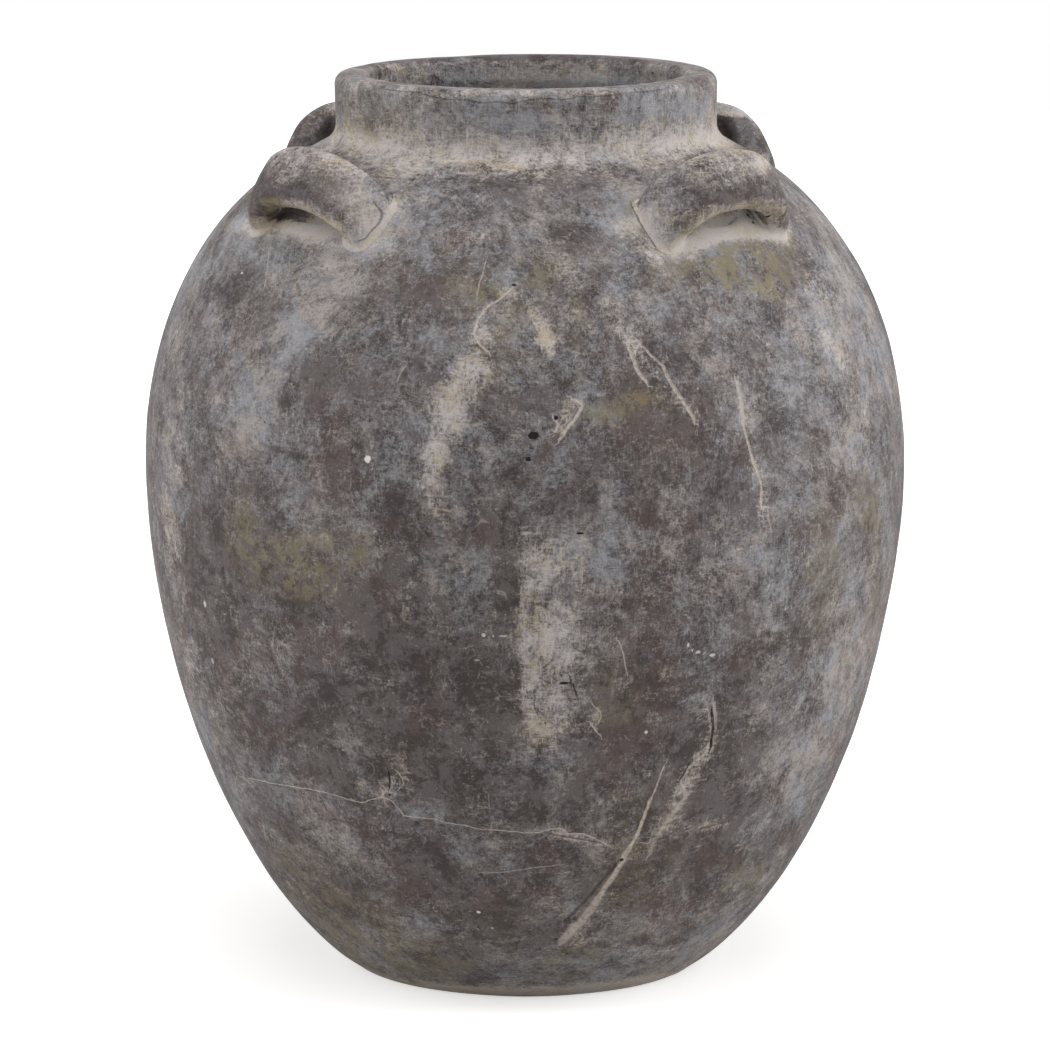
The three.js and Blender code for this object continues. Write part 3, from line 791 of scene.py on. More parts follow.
# Shader building
class Value:
    # An output of a shader node. Arithmetic with it adds maths nodes, and value["Name"] is another output
    # of the same node.
    def __init__(self, tree, socket):
        self.tree, self.socket = tree, socket

    def __getitem__(self, name):
        return Value(self.tree, self.socket.node.outputs[name])

    def __add__(self, other):
        return maths(self.tree, "ADD", self, other)

    def __sub__(self, other):
        return maths(self.tree, "SUBTRACT", self, other)

    def __rsub__(self, other):
        return maths(self.tree, "SUBTRACT", other, self)

    def __mul__(self, other):
        return maths(self.tree, "MULTIPLY", self, other)

    def __truediv__(self, other):
        return maths(self.tree, "DIVIDE", self, other)

    def __rtruediv__(self, other):
        return maths(self.tree, "DIVIDE", other, self)

    def __pow__(self, other):
        return maths(self.tree, "POWER", self, other)

    def __abs__(self):
        return maths(self.tree, "ABSOLUTE", self)


def feed(socket, value):
    # A link where the value comes out of a node, and otherwise the socket's own number or colour.
    if isinstance(value, Value):
        value.tree.links.new(value.socket, socket)
    else:
        socket.default_value = value


def put(tree, kind, inputs=(), out=0, **settings):
    made = tree.nodes.new(kind)
    for name, value in settings.items():
        setattr(made, name, value)
    for name, value in dict(inputs).items():
        feed(made.inputs[name], value)
    return Value(tree, made.outputs[out])


def maths(tree, operation, *values, clamp=False):
    return put(tree, "ShaderNodeMath", dict(enumerate(values)), operation=operation, use_clamp=clamp)


def ramp(value, low, high, bottom=0.0, top=1.0):
    # Smoothly from bottom to top while the value goes from low to high.
    inputs = dict(enumerate((value, low, high, bottom, top)))
    return put(value.tree, "ShaderNodeMapRange", inputs, interpolation_type="SMOOTHSTEP")


def mixed(share, first, second, blend="MIX"):
    tree = (share if isinstance(share, Value) else first).tree
    return put(tree, "ShaderNodeMix", {0: share, 6: first, 7: second}, out=2, data_type="RGBA",
               blend_type=blend, clamp_factor=True)


def noise(where, size, detail=2.0, rough=0.5, bend=0.0):
    # Size is in metres from one blotch to the next.
    return put(where.tree, "ShaderNodeTexNoise", {
        "Vector": where, "Scale": 1.0 / size, "Detail": detail, "Roughness": rough, "Distortion": bend,
    }, noise_dimensions="3D")


def newGroup(name, inputs, build):
    # Inputs are the sockets' names and defaults: a number, a colour, or None for a vector. What build
    # gives back are the outputs.
    tree = bpy.data.node_groups.new(name, "ShaderNodeTree")
    for label, value in inputs.items():
        kind = {type(None): "Vector", tuple: "Color", float: "Float"}[type(value)]
        socket = tree.interface.new_socket(label, in_out="INPUT", socket_type="NodeSocket" + kind)
        if value is not None:
            socket.default_value = value
    made = build(put(tree, "NodeGroupInput"))
    for label in made:
        kind = "Color" if label == "Color" else "Float"
        tree.interface.new_socket(label, in_out="OUTPUT", socket_type="NodeSocket" + kind)
    result = tree.nodes.new("NodeGroupOutput").inputs
    for label, value in made.items():
        feed(result[label], value)
    print("shader group:", name)
    return tree


def place(tree, group, **values):
    # Puts a group into a material. The values are named as its sockets are, without their spaces.
    made = tree.nodes.new("ShaderNodeGroup")
    made.node_tree = group
    for socket in made.inputs:
        name = socket.name.replace(" ", "")
        if name in values:
            feed(socket, values[name])
    return Value(tree, made.outputs[0])


texture = {  # noises as (size in metres where no socket gives it, finer sizes, roughness, bend)
    "threads": (3.0, 0.62), "strokes": (2.0, 0.6, 0.3), "strokeRange": (0.38, 0.78),
    "threadWeight": 0.4, "strokeWeight": 0.6,
    "lineCourse": (0.004, 3.0), "lineSwing": 4.0, "thinnestLine": 0.05,  # millimetres
    "lineBreaks": (0.0018, 3.0, 0.6), "breakRange": (0.30, 0.62),
    "lineMask": (1.5, 0.5), "lineCore": (1.0, 0.0),  # in half widths, from nothing to full
    "pitEdge": (0.0012, 2.0), "pitSwing": 2.0, "pitMask": (1.2, 0.75),
    "hairs": (1.0, 0.5, 1.2), "hairBreaks": (2.0, 0.5, 0.3), "breakSize": 0.9,  # of the hairs' own
    "breakLevel": 0.72, "breakFall": 0.3, "breakEdge": 0.08,
    "speckSizes": (0.5, 1.3), "speckMask": (1.0, 0.55),
}


def buildGrain(given):
    # Threads where a bent noise crosses its middle value, over fine strokes, which are the greater of a
    # noise drawn out upwards and one drawn out round the jar.
    course = noise(given["Place"], given["Thread Size"], *texture["threads"], given["Bend"])
    threads = ramp(abs(course - 0.5), given["Thread Width"], 0.0)
    short = 1.0 / given["Stroke Length"]
    drawn = []
    for sockets in ({"Z": short}, {"X": short, "Y": short}):
        scale = put(given.tree, "ShaderNodeCombineXYZ", {"X": 1.0, "Y": 1.0, "Z": 1.0, **sockets})
        moved = put(given.tree, "ShaderNodeVectorMath", {0: given["Place"], 1: scale}, operation="MULTIPLY")
        drawn.append(noise(moved, given["Stroke Width"], *texture["strokes"]))
    strokes = ramp(maths(given.tree, "MAXIMUM", *drawn), *texture["strokeRange"])
    return {"Grain": threads * texture["threadWeight"] + strokes * texture["strokeWeight"],
            "Strokes": strokes}


def buildClouds(given):
    # Blotches with every finer size down to a grain inside them, as values about nought.
    return {"Cloud": noise(given["Place"], given["Size"], given["Octaves"], given["Roughness"],
                           given["Bend"]) - 0.5}


def buildDeposit(given):
    # The amount and the grain together pass a soft threshold.
    total = given["Amount"] + (given["Grain"] - 0.5) * given["Grain Gain"]
    mask = ramp(total, 0.5 - given["Edge"], given["Edge"] + 0.5)
    return {"Color": mixed(mask * given["Cover"], given["Color"], given["Deposit"]), "Mask": mask}


def buildLine(given):
    # A line laid out as (distance, half width, strength). Noise makes its course and its edge waver.
    parts = put(given.tree, "ShaderNodeSeparateXYZ", {"Vector": given["Line"]})
    course = (noise(given["Place"], *texture["lineCourse"]) - 0.5) * (given["Waver"] * texture["lineSwing"])
    near = abs(parts["X"] + course) / maths(given.tree, "MAXIMUM", parts["Y"], texture["thinnestLine"])
    broken = ramp(noise(given["Place"], *texture["lineBreaks"]), *texture["breakRange"])
    strength = parts["Z"] * (1.0 - given["Break Up"] * (1.0 - broken))
    return {"Mask": ramp(near, *texture["lineMask"]) * strength,
            "Core": ramp(near, *texture["lineCore"]) * strength}


def buildPit(given):
    # An oval laid out as (sideways, upwards, weight), with a ragged edge: its distance is the root of
    # the sum of the squares.
    parts = put(given.tree, "ShaderNodeSeparateXYZ", {"Vector": given["Pit"]})
    gap = maths(given.tree, "SQRT", abs(parts["X"]) ** 2.0 + abs(parts["Y"]) ** 2.0)
    edge = (noise(given["Place"], *texture["pitEdge"]) - 0.5) * (given["Ragged"] * texture["pitSwing"])
    return {"Mask": ramp(gap + edge, *texture["pitMask"]) * parts["Z"]}


def buildHairs(given):
    # Hair-fine scratches and crazing: where a bent noise crosses its middle value, in broken stretches.
    course = noise(given["Place"], given["Size"], *texture["hairs"])
    where = noise(given["Place"], given["Size"] * texture["breakSize"], *texture["hairBreaks"])
    low = texture["breakLevel"] - given["Cover"] * texture["breakFall"]
    kept = ramp(where, low, low + texture["breakEdge"])
    return {"Mask": ramp(abs(course - 0.5), given["Fineness"], 0.0) * kept}


def buildSpecks(given):
    # Scattered round specks: cells of a Voronoi pattern, of which a random few keep their middle.
    cells = put(given.tree, "ShaderNodeTexVoronoi", {"Vector": given["Place"],
                                                     "Scale": 1.0 / given["Spacing"]})
    chance = put(given.tree, "ShaderNodeSeparateColor", {"Color": cells["Color"]})
    size = given["Size"] * ramp(chance["Green"], 0.0, 1.0, *texture["speckSizes"])
    dot = ramp(cells["Distance"] * given["Spacing"] / size, *texture["speckMask"])
    return {"Mask": dot * maths(given.tree, "LESS_THAN", chance["Red"], given["Share"])}


grain = newGroup("fibrous grain", {"Place": None, "Thread Size": 0.0045, "Thread Width": 0.16,
                                   "Stroke Width": 0.0009, "Stroke Length": 3.5, "Bend": 1.8}, buildGrain)
clouds = newGroup("weathering clouds", {"Place": None, "Size": 0.06, "Octaves": 7.0, "Roughness": 0.9,
                                        "Bend": 0.6}, buildClouds)
deposit = newGroup("rubbed deposit", {"Color": (0.1, 0.1, 0.1, 1), "Deposit": (0.4, 0.4, 0.4, 1),
                                      "Amount": 0.5, "Grain": 0.5, "Grain Gain": 0.6, "Edge": 0.2,
                                      "Cover": 0.8}, buildDeposit)
lineMark = newGroup("line mark", {"Line": None, "Place": None, "Waver": 0.5, "Break Up": 0.5}, buildLine)
pitMark = newGroup("pit mark", {"Pit": None, "Place": None, "Ragged": 0.4}, buildPit)
hairlines = newGroup("hairlines", {"Place": None, "Size": 0.012, "Fineness": 0.012, "Cover": 0.5},
                     buildHairs)
specks = newGroup("scattered specks", {"Place": None, "Spacing": 0.008, "Size": 0.0006, "Share": 0.1},
                  buildSpecks)


def written(red, green, blue):
    # A colour as it reads on screen, from 0 to 255, turned into the linear one that the shader takes.
    share = np.array([red, green, blue]) / 255
    linear = np.where(share <= 0.04045, share / 12.92, ((share + 0.055) / 1.055) ** 2.4)
    return (*[float(value) for value in linear], 1.0)


clay = {
    "darkClay": written(59, 52, 53), "greyClay": written(91, 84, 85), "redClay": written(80, 64, 62),
    "blueDust": written(150, 151, 156), "warmDust": written(164, 157, 153),
    "slip": written(196, 188, 185), "beigeSlip": written(190, 178, 160), "ochre": written(128, 118, 92),
    "crack": written(12, 9, 9), "paleLine": written(190, 178, 168), "speck": written(232, 227, 220),
    # Clouds: their shift in the noise, size in metres and number of finer sizes
    "clayCloud": ((1, 2, 3), 0.022, 5), "redCloud": ((7, 1, 4), 0.060, 4),
    "warmCloud": ((2, 8, 5), 0.050, 3), "dustCloud": ((0, 0, 0), 0.060, 7),
    "ochreCloud": ((5, 3, 9), 0.014, 4), "slipCloud": ((9, 6, 1), 0.018, 6),
    "beigeCloud": ((6, 2, 2), 0.020, 4), "reliefCloud": ((4, 4, 2), 0.008, 3),
    "finer": 0.92,  # how strong each finer size of blotch is against the one before
    "bend": 0.22,  # how far the blotches are drawn out into swirls
    # Ranges of the cloud over which one colour turns into the other, and how much it covers
    "clayClouds": 5.0, "clayRange": (0.2, 0.8), "redRange": (0.02, 0.10), "redCover": 0.5,
    "warmRange": (-0.07, 0.08), "beigeRange": (-0.04, 0.09),
    "ochreLevel": 0.07, "ochreRange": (-0.06, 0.06, 0.1, 1.0), "ochreCover": 0.75,
    # Level: how much of it lies on the whole
    "dustLevel": 0.26, "dustClouds": 4.6, "dustGrain": 0.52, "dustEdge": 0.58, "dustCover": 0.90,
    "slipLevel": -0.23, "slipClouds": 3.6, "slipGrain": 0.90, "slipEdge": 0.60, "slipCover": 0.80,
    "otherPlace": (3, 5, 7),  # shift of the second grain and of the holes
    "otherGrain": {"ThreadSize": 0.0030, "ThreadWidth": 0.20, "StrokeWidth": 0.0013, "StrokeLength": 5.0,
                   "Bend": 1.2},
    "grainShade": 0.10,  # how far the grain darkens and lightens whatever it lies on
    "hairs": {"Size": 0.016, "Fineness": 0.010, "Cover": 0.45}, "hairCover": 0.35,
    "dots": {"Spacing": 0.010, "Size": 0.0006, "Share": 0.08}, "dotCover": 0.6,
    "holes": {"Spacing": 0.014, "Size": 0.0005, "Share": 0.10}, "holeCover": 0.8,
    "lines": {"Waver": 0.35, "BreakUp": 0.6}, "lineCover": 0.85,
    "cracks": {"Waver": 0.25, "BreakUp": 0.3},
    "pits": {"Ragged": 0.5}, "flecks": {"Ragged": 0.3}, "fleckCover": 0.85,
    # Relief, in units of the bump's depth in metres
    "bumpDepth": 0.00025, "strokeRelief": 0.4, "cloudRelief": 2.0, "slipRelief": 0.6,
    "holeRelief": 1.5, "lineRelief": 0.6, "crackRelief": 3.0, "pitRelief": 4.0,
    "smoothRough": 0.66, "dustyRough": 0.94, "specular": 0.2,
}


def clayMaterial(name, look):
    # From the clay outwards: browns, dust in clouds, ochre stains, slip, then the single marks.
    material = bpy.data.materials.new(name)
    material.use_nodes = True
    tree = material.node_tree
    shader = tree.nodes["Principled BSDF"].inputs
    where = put(tree, "ShaderNodeTexCoord", out="Object")

    def attribute(label, output="Fac"):
        return put(tree, "ShaderNodeAttribute", out=output, attribute_name=label)

    def moved(shift):
        return put(tree, "ShaderNodeVectorMath", {0: where, 1: shift}, operation="ADD")

    def cloud(label):
        shift, size, octaves = look[label]
        return place(tree, clouds, Place=moved(shift), Size=size, Octaves=octaves,
                     Roughness=look["finer"], Bend=look["bend"])

    grains = place(tree, grain, Place=where)
    otherGrain = place(tree, grain, Place=moved(look["otherPlace"]), **look["otherGrain"])

    tone = cloud("clayCloud") * look["clayClouds"] + 0.5
    base = mixed(ramp(tone, *look["clayRange"]), look["darkClay"], look["greyClay"])
    base = mixed(ramp(cloud("redCloud"), *look["redRange"]) * look["redCover"], base, look["redClay"])

    dust = mixed(ramp(cloud("warmCloud"), *look["warmRange"]), look["blueDust"], look["warmDust"])
    amount = cloud("dustCloud") * look["dustClouds"] + (attribute("dust") + look["dustLevel"])
    dusted = place(tree, deposit, Color=base, Deposit=dust, Amount=amount, Grain=grains["Grain"],
                   GrainGain=look["dustGrain"], Edge=look["dustEdge"], Cover=look["dustCover"])

    stain = maths(tree, "MULTIPLY", attribute("ochre") + look["ochreLevel"],
                  ramp(cloud("ochreCloud"), *look["ochreRange"]), clamp=True)
    stained = mixed(stain * look["ochreCover"], dusted["Color"], look["ochre"])

    slip = mixed(ramp(cloud("beigeCloud"), *look["beigeRange"]), look["slip"], look["beigeSlip"])
    amount = attribute("slip") + look["slipLevel"] + cloud("slipCloud") * look["slipClouds"]
    slipped = place(tree, deposit, Color=stained, Deposit=slip, Amount=amount, Grain=otherGrain["Grain"],
                    GrainGain=look["slipGrain"], Edge=look["slipEdge"], Cover=look["slipCover"])

    shade = (grains["Strokes"] - 0.5) * look["grainShade"] + 1.0
    gain = put(tree, "ShaderNodeCombineXYZ", {"X": shade, "Y": shade, "Z": shade})
    colour = mixed(1.0, slipped["Color"], gain, "MULTIPLY")
    height = (grains["Strokes"] * look["strokeRelief"] + cloud("reliefCloud") * look["cloudRelief"]
              + attribute("slip") * look["slipRelief"])

    hairs = place(tree, hairlines, Place=where, **look["hairs"])
    colour = mixed(hairs * look["hairCover"], colour, look["paleLine"])
    dots = place(tree, specks, Place=where, **look["dots"])
    colour = mixed(dots * look["dotCover"], colour, look["paleLine"])
    holes = place(tree, specks, Place=moved(look["otherPlace"]), **look["holes"])
    colour = mixed(holes * look["holeCover"], colour, look["crack"])
    height = height - holes * look["holeRelief"]
    for label in ("scratch", "branch"):
        line = place(tree, lineMark, Line=attribute(label, "Vector"), Place=where, **look["lines"])
        colour = mixed(line["Mask"] * look["lineCover"], colour, look["paleLine"])
        height = height - line["Core"] * look["lineRelief"]
    crack = place(tree, lineMark, Line=attribute("crack", "Vector"), Place=where, **look["cracks"])
    colour = mixed(crack["Mask"], colour, look["crack"])
    height = height - crack["Mask"] * look["crackRelief"]
    pits = place(tree, pitMark, Pit=attribute("pit", "Vector"), Place=where, **look["pits"])
    colour = mixed(pits, colour, look["crack"])
    height = height - pits * look["pitRelief"]
    flecks = place(tree, pitMark, Pit=attribute("speck", "Vector"), Place=where, **look["flecks"])
    colour = mixed(flecks * look["fleckCover"], colour, look["speck"])

    covered = maths(tree, "MAXIMUM", dusted["Mask"], slipped["Mask"])
    feed(shader["Base Color"], colour)
    feed(shader["Roughness"], ramp(covered, 0.0, 1.0, look["smoothRough"], look["dustyRough"]))
    feed(shader["Specular IOR Level"], look["specular"])
    feed(shader["Normal"], put(tree, "ShaderNodeBump", {"Height": height, "Distance": look["bumpDepth"],
                                                        "Strength": 1.0}))
    print("material:", name)
    return material


wallClay = clayMaterial("weathered wall clay", clay)

turnsRound = np.radians(np.linspace(0, 360, wall["columns"], endpoint=False))[None, :]

# Foot seam: the line where the first coil of clay was joined, which wanders up and down round the jar.
footSeam = {
    "photoPoints": [(249, 778), (362, 803), (466, 826), (540, 833), (607, 845), (711, 826), (754, 812)],
    "backKnots": 5, "wander": 0.004, "waveStep": 2.4,
}


def seamAlong(turn):
    # Through the photographed points where they are seen, and round the back on a slow wave.
    seen = np.array([onWall(x, y) for x, y in footSeam["photoPoints"]])
    knots = footSeam["backKnots"]
    backTurns = np.linspace(seen[-1, 0], seen[0, 0] + 2 * np.pi, knots + 2)[1:-1]
    wave = footSeam["wander"] * np.sin(np.arange(knots) * footSeam["waveStep"])
    knotTurns = np.concatenate([seen[:, 0], backTurns, seen[:1, 0] + 2 * np.pi])
    knotAlong = np.concatenate([seen[:, 1], alongAt(wall["footSeamHeight"]) + wave, seen[:1, 1]])
    return np.interp((turn - seen[0, 0]) % (2 * np.pi) + seen[0, 0], knotTurns, knotAlong)


# A gutter and a ridge, with a flat lip at either edge
seam = {"gap": 0.0003, "ridgeDepth": 0.003, "ridgeHalfWidth": 0.003, "lip": 0.0015}
ridgeGap = seam["gap"] * np.sqrt(2)


def seamRows(along, lift=0.0):
    # Across the wall from outside to inside: flat, a gutter in the middle, flat. The edges are shared
    # with the next ring and lie on the worked surface, so the joint shows only as a line.
    thickness, lip, half = wall["thickness"], seam["lip"], seam["ridgeHalfWidth"]
    across = [(lip, 0), (thickness / 2 - half, 0), (thickness / 2, -seam["ridgeDepth"]),
              (thickness / 2 + half, 0), (thickness - lip, 0)]
    rows = [onSkin(along + rise + lift, depth) for depth, rise in across]
    edges = [skinPoints(along, depth, turnsRound) for depth in (0.0, thickness)]
    return [np.concatenate(part) for part in zip(edges[0], *rows, edges[1])]


def stacked(*parts):
    # Joins (radius, height) pairs of rows into one outline.
    return [np.concatenate(part) for part in zip(*parts)]


def downwards(part):
    return [rows[::-1] for rows in part]


def wallRing(name, low, high, rows):
    # One wall ring: across the bottom seam, up the outside, across the top seam and down the inside,
    # which has half as many rows.
    low, high = low + np.zeros_like(turnsRound), high + np.zeros_like(turnsRound)

    def between(count, depth):
        return skinPoints(low + (high - low) * np.linspace(0, 1, count)[1:-1, None], depth, turnsRound)

    bottom, top = seamRows(low, ridgeGap), seamRows(high)
    radius, height = stacked(downwards(bottom), between(rows, 0.0), top,
                             downwards(between(rows // 2, wall["thickness"])))
    across = len(bottom[0])
    sharp = [0, across - 1, across + rows - 2, 2 * across + rows - 3]
    return gridMesh(name, turned(radius, height, turnsRound), sharp)


belly = {"rows": 108}
bellyMesh = wallRing("belly", seamAlong(turnsRound), bellyAlong, belly["rows"])
addPiece("belly", bellyMesh, "belly_wall", wallClay)

shoulder = {"rows": 112}
shoulderMesh = wallRing("shoulder", bellyAlong, coneAlong, shoulder["rows"])
addPiece("shoulder", shoulderMesh, "shoulder_wall", wallClay)

# Foot ring and floor slab
foot = {
    "rows": 92,
    "toeRadius": 0.0713,
    "bevel": 0.009,
    "floor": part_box("floor_slab")[1].z,
    "edgeRound": 0.0018,  # the worn edge that the jar stands on
    "edgeWidth": 0.8,  # of that rounding, inwards
    "edgeRows": 5,
}


def footMesh():
    # From the floor down the bevel, round the worn edge, up the outside, across the seam and down the
    # inside to the floor.
    high = seamAlong(turnsRound)
    rows, edge, floor = foot["rows"], foot["edgeRound"], foot["floor"]
    outer = skinPoints(alongAt(edge) + (high - alongAt(edge)) * np.linspace(0, 1, rows)[:-1, None], 0.0,
                       turnsRound)
    worn = np.linspace(0, 1, foot["edgeRows"] + 1)[:-1, None] * np.pi / 2
    inward = wall["baseRadius"] - edge * foot["edgeWidth"]
    rounded = (inward + (outer[0][0] - inward) * np.sin(worn), outer[1][0] * (1 - np.cos(worn)))
    toe = [np.array(part)[:, None] + np.zeros_like(turnsRound)
           for part in ((foot["toeRadius"] - foot["bevel"], foot["toeRadius"]), (floor, 0.0))]
    lower = skinAlong[:wall["curveSteps"] // 2]
    floorAlong = np.interp(floor, onSkin(lower, wall["thickness"])[1], lower)
    inner = skinPoints(high + (floorAlong - high) * np.linspace(0, 1, rows // 2)[1:, None],
                       wall["thickness"], turnsRound)
    inner[1][-1] = floor
    top = seamRows(high)
    radius, height = stacked(toe, rounded, outer, top, inner)
    firstTop = len(toe[0]) + foot["edgeRows"] + rows - 1
    sharp = [0, 1, firstTop, firstTop + len(top[0]) - 1, len(radius) - 1]
    return gridMesh("foot", turned(radius, height, turnsRound), sharp)


addPiece("foot", footMesh(), "foot_wall", wallClay)

slab = {"radius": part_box("floor_slab")[1].x, "columns": 180, "rings": 60, "innermost": 0.02,
        "hollow": 0.0006, "hollowSize": 0.02, "seed": 40, "flatRim": 0.15}


def slabMesh():
    # A disc: out along the underside, up the bevelled edge and back to the middle along the top. Lattice
    # noise hollows both faces a little, but not their rims.
    turn = np.radians(np.linspace(0, 360, slab["columns"], endpoint=False))[None, :]
    out = np.linspace(slab["innermost"], 1, slab["rings"])[:, None]
    radius = np.concatenate([slab["radius"] * out, (slab["radius"] - foot["bevel"]) * out[::-1]])
    radius = radius + np.zeros_like(turn)
    depth = slab["hollow"] * latticeNoise(turned(radius, np.zeros_like(radius), turn), slab["hollowSize"],
                                          slab["seed"])
    depth = depth * smoothStep(0, slab["flatRim"], 1 - radius / radius.max())
    under = np.arange(len(radius))[:, None] < slab["rings"]
    height = np.where(under, depth, foot["floor"] - depth)
    return gridMesh("floor", turned(radius, height, turn), [slab["rings"] - 1, slab["rings"]], openEnds=True)


addPiece("floor", slabMesh(), "floor_slab", wallClay)

# Collar
collar = {
    "rimThickness": 0.0148,
    "rimOuterRound": 0.0055,
    "rimInnerRound": 0.0045,
    "rimLip": 0.012,
    "rows": {"cone": 14, "fillet": 14, "neck": 16, "round": 12, "top": 5, "lip": 8, "inside": 24},
}


def arcOf(centre, radius, fromDegrees, toDegrees, steps):
    angle = np.radians(np.linspace(fromDegrees, toDegrees, steps))
    return np.stack([centre[0] + radius * np.cos(angle), centre[1] + radius * np.sin(angle)], axis=1)


def straight(start, end, steps):
    return np.linspace(start, end, steps)[1:-1]


def collarOutline():
    # Cone, fillet, neck, rounded rim, then down the inside: a lip and a wide inner fillet.
    count, slope, bendRadius = collar["rows"], wall["shoulderSlope"], wall["collarFillet"]
    top, radius = wall["jarHeight"], wall["collarRadius"]
    outerRound, innerRound = collar["rimOuterRound"], collar["rimInnerRound"]
    mouth = radius - collar["rimThickness"]
    filletStart = alongAt(filletCentre[1] - bendRadius * np.cos(np.radians(slope)))
    cone = np.stack(onSkin(np.linspace(coneAlong, filletStart, count["cone"]), 0.0), axis=1)
    fillet = arcOf(filletCentre, bendRadius, 270 - slope, 180, count["fillet"])
    outer = arcOf((radius - outerRound, top - outerRound), outerRound, 0, 90, count["round"])
    inner = arcOf((mouth + innerRound, top - innerRound), innerRound, 90, 180, count["round"])
    bend = arcOf(filletCentre, bendRadius + wall["thickness"], 180, 270 - slope, count["inside"])
    lip = np.array([mouth, top - collar["rimLip"]])
    coneInside = np.stack(onSkin(np.array([coneAlong]), wall["thickness"]), axis=1)
    return np.concatenate([
        cone, fillet[1:], straight(fillet[-1], outer[0], count["neck"]), outer,
        straight(outer[-1], inner[0], count["top"]), inner, straight(inner[-1], lip, count["lip"]),
        [lip], straight(lip, bend[0], count["lip"]), bend,
        straight(bend[-1], coneInside[0], count["lip"]), coneInside])


def collarMesh():
    # The outline turned round, each point moved inwards by the unevenness, square to the outline.
    outline = collarOutline()
    step = np.gradient(outline, axis=0)
    step = step / np.linalg.norm(step, axis=1)[:, None]
    radius, height = [part[:, None] + np.zeros_like(turnsRound) for part in outline.T]
    inwards = dip(turned(radius, height, turnsRound))
    worked = radius - inwards * step[:, 1:], height + inwards * step[:, :1]
    bottom = seamRows(np.full_like(turnsRound, coneAlong), ridgeGap)
    radius, height = stacked(worked, downwards([part[1:-1] for part in bottom]))
    return gridMesh("collar", turned(radius, height, turnsRound), [0, len(outline) - 1])


collarLook = dict(clay, dustLevel=0.285, slipClouds=3.2)
collarClay = clayMaterial("weathered collar clay", collarLook)
addPiece("neckAndRim", collarMesh(), "collar", collarClay)

strapSurface = {
    "layers": ((0.016, 0.0009, 21), (0.006, 0.0004, 22)),  # unevenness: (size, depth, seed)
    "evenBelow": 0.01,  # it fades out towards the wall from this height over it
    "step": 1e-3,  # in radians, to measure the surface's directions
}


def handleMesh(name, azimuth):
    # The strap from foot to foot. Near the wall the luted clay spreads along it as a quarter circle:
    # its radius times one minus the root of one minus the square of how far down it is.
    around = np.linspace(0, 2 * np.pi, handle["sides"], endpoint=False)
    half = (np.linspace(0, 1, handle["stations"] // 2) ** handle["crowding"])[:, None]
    first, second = [footAngles(around, azimuth, start)[None, :] for start in (True, False)]
    angle = np.concatenate([first + (np.pi / 2 - first) * half,
                            second + (np.pi / 2 - second) * half[::-1][1:]])
    section = around[None, :] + np.zeros_like(angle)
    points = strapPoints(angle, section, azimuth)
    step = strapSurface["step"]
    alongStrap = strapPoints(angle + step, section, azimuth) - strapPoints(angle - step, section, azimuth)
    roundStrap = strapPoints(angle, section + step, azimuth) - strapPoints(angle, section - step, azimuth)
    outwards = np.cross(roundStrap, alongStrap)
    outwards = outwards / (np.linalg.norm(outwards, axis=-1)[..., None] + 1e-12)
    normal, above = wallNormal(points), overWall(points)
    level = outwards - np.sum(outwards * normal, axis=-1)[..., None] * normal
    level = level / (np.linalg.norm(level, axis=-1)[..., None] + 1e-9)
    reach = np.clip(above / handle["luting"], 0, 1)
    spread = handle["luting"] * (1 - np.sqrt(1 - (1 - reach) ** 2))
    rough = uneven(points, strapSurface["layers"]) * smoothStep(0, strapSurface["evenBelow"], above)
    points = points + spread[..., None] * level + rough[..., None] * outwards
    buried = [row - handle["buried"] * wallNormal(row) for row in (points[:1], points[-1:])]
    return gridMesh(name, np.concatenate([buried[0], points, buried[1]]), openEnds=True)


handleWearAndShade = {  # by the way that the surface looks: up, level or down; level and hanging faces get painted shade
    "levelDark": 0.42, "levelMiddle": 0.12, "levelWidth": 0.34,
    "underDark": 0.34, "underOchre": 0.75, "underFrom": (0.0, -0.6),
    "footSlip": 0.55, "footReach": 0.0035, "footPatches": (0.010, 63, 0.4, 1.2),
    "rootReach": (0.004, 0.016),  # the painted shade on level and hanging faces begins between these heights over the wall
}


def wearAndShadeHandle(mesh):
    # Painted shade darkens the level and hanging faces, partly as dust that stays off them; ochre stains the
    # underside, slip gathers at the feet. Level faces and feet are found as exp of minus a square.
    points, facing = readRows(mesh.vertices, "co"), readRows(mesh.vertex_normals, "vector")[:, 2]
    above = overWall(points)
    level = smoothStep(*handleWearAndShade["rootReach"], above) * np.exp(
        -((facing - handleWearAndShade["levelMiddle"]) / handleWearAndShade["levelWidth"]) ** 2)
    under = smoothStep(*handleWearAndShade["underFrom"], facing)
    atFoot = np.exp(-(np.maximum(above, 0) / handleWearAndShade["footReach"]) ** 2)
    # painted shade: less dust on the level and hanging faces darkens them
    change = {"dust": -handleWearAndShade["levelDark"] * level - handleWearAndShade["underDark"] * under,
              "ochre": handleWearAndShade["underOchre"] * under,
              "slip": handleWearAndShade["footSlip"] * atFoot * patches(points, *handleWearAndShade["footPatches"])}
    for name, extra in change.items():
        values = np.zeros(len(points), np.float32)
        layer = mesh.attributes[name].data
        layer.foreach_get("value", values)
        layer.foreach_set("value", (values + extra).astype(np.float32))


handleLook = dict(clay, dustLevel=0.245, dustClouds=3.2, slipLevel=-0.20, slipClouds=2.6)
handleClay = clayMaterial("weathered handle clay", handleLook)
for node, azimuth in handle["turns"].items():
    words = node.split("_")
    name = words[0] + words[1].title() + words[2].title()
    wearAndShadeHandle(addPiece(name, handleMesh(name, azimuth), node, handleClay))

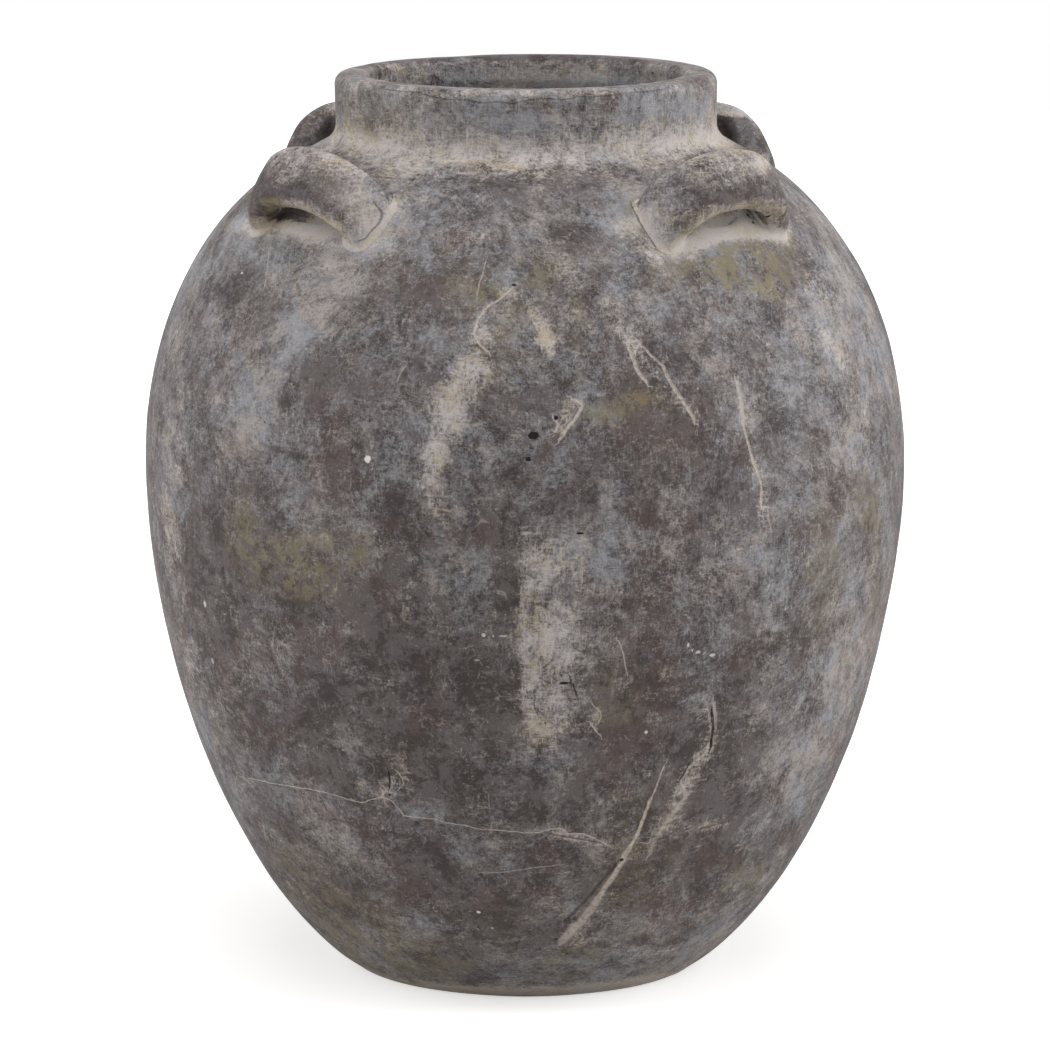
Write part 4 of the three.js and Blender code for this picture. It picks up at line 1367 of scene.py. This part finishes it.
# Floor, light and background
studio = {
    "floorSize": 6.0,
    "floorColour": written(226, 225, 223),
    "floorRough": 0.9,
    "floorSpecular": 0.1,
    "floorGlow": 0.55,
    "glowRadii": (0.5, 1.3),  # it rises to full white between these distances
    "ambient": 0.30,
    "lightsAim": 0.22,  # height on the jar's axis
    "lights": [  # name, turn from the camera in degrees, height, distance, width, height of the panel, watts
        ("top softbox", 0, 1.9, 0.30, 1.6, 1.6, 17),
        ("right softbox", 80, 0.95, 1.6, 1.0, 1.6, 21),
        ("left softbox", -82, 0.90, 1.6, 1.0, 1.6, 15),
        ("front softbox", 8, 1.5, 2.3, 1.4, 1.4, 7),
    ],
}


def shownRay(tree):
    # 1 for the rays that show a thing as it is, and 0 for those that carry its light to others.
    ray = put(tree, "ShaderNodeLightPath", out="Is Camera Ray")
    return maths(tree, "MAXIMUM", ray, maths(tree, "MAXIMUM", ray["Is Glossy Ray"],
                                             ray["Is Transmission Ray"]))


def buildFloor():
    size = studio["floorSize"] / 2
    ground = bpy.data.meshes.new("ground")
    ground.from_pydata([(-size, -size, 0), (size, -size, 0), (size, size, 0), (-size, size, 0)], [],
                       [(0, 1, 2, 3)])
    floor = bpy.data.objects.new("ground", ground)
    sceneObjects.link(floor)
    material = bpy.data.materials.new("pale studio floor")
    material.use_nodes = True
    tree = material.node_tree
    shader = tree.nodes["Principled BSDF"].inputs
    where = put(tree, "ShaderNodeTexCoord", out="Object")
    away = put(tree, "ShaderNodeVectorMath", {0: where}, out="Value", operation="LENGTH")
    feed(shader["Base Color"], studio["floorColour"])
    feed(shader["Roughness"], studio["floorRough"])
    feed(shader["Specular IOR Level"], studio["floorSpecular"])
    feed(shader["Emission Color"], (1, 1, 1, 1))
    feed(shader["Emission Strength"],
         shownRay(tree) * ramp(away, *studio["glowRadii"], studio["floorGlow"], 1.0))
    ground.materials.append(material)


def buildLight():
    world = bpy.data.worlds.new("studio")
    bpy.context.scene.world = world
    world.use_nodes = True
    background = world.node_tree.nodes["Background"].inputs
    feed(background["Color"], (1, 1, 1, 1))
    feed(background["Strength"], ramp(shownRay(world.node_tree), 0.0, 1.0, studio["ambient"], 1.0))
    for name, turn, height, distance, width, tall, watts in studio["lights"]:
        angle = np.radians(view["turn"] + turn)
        lamp = bpy.data.lights.new(name, "AREA")
        lamp.shape = "RECTANGLE"
        lamp.size, lamp.size_y = width, tall
        lamp.energy = watts
        stand(bpy.data.objects.new(name, lamp), (distance * np.cos(angle), distance * np.sin(angle), height),
              studio["lightsAim"])


buildFloor()
buildLight()
print("studio built")
bpy.context.scene.view_settings.view_transform = "Standard"
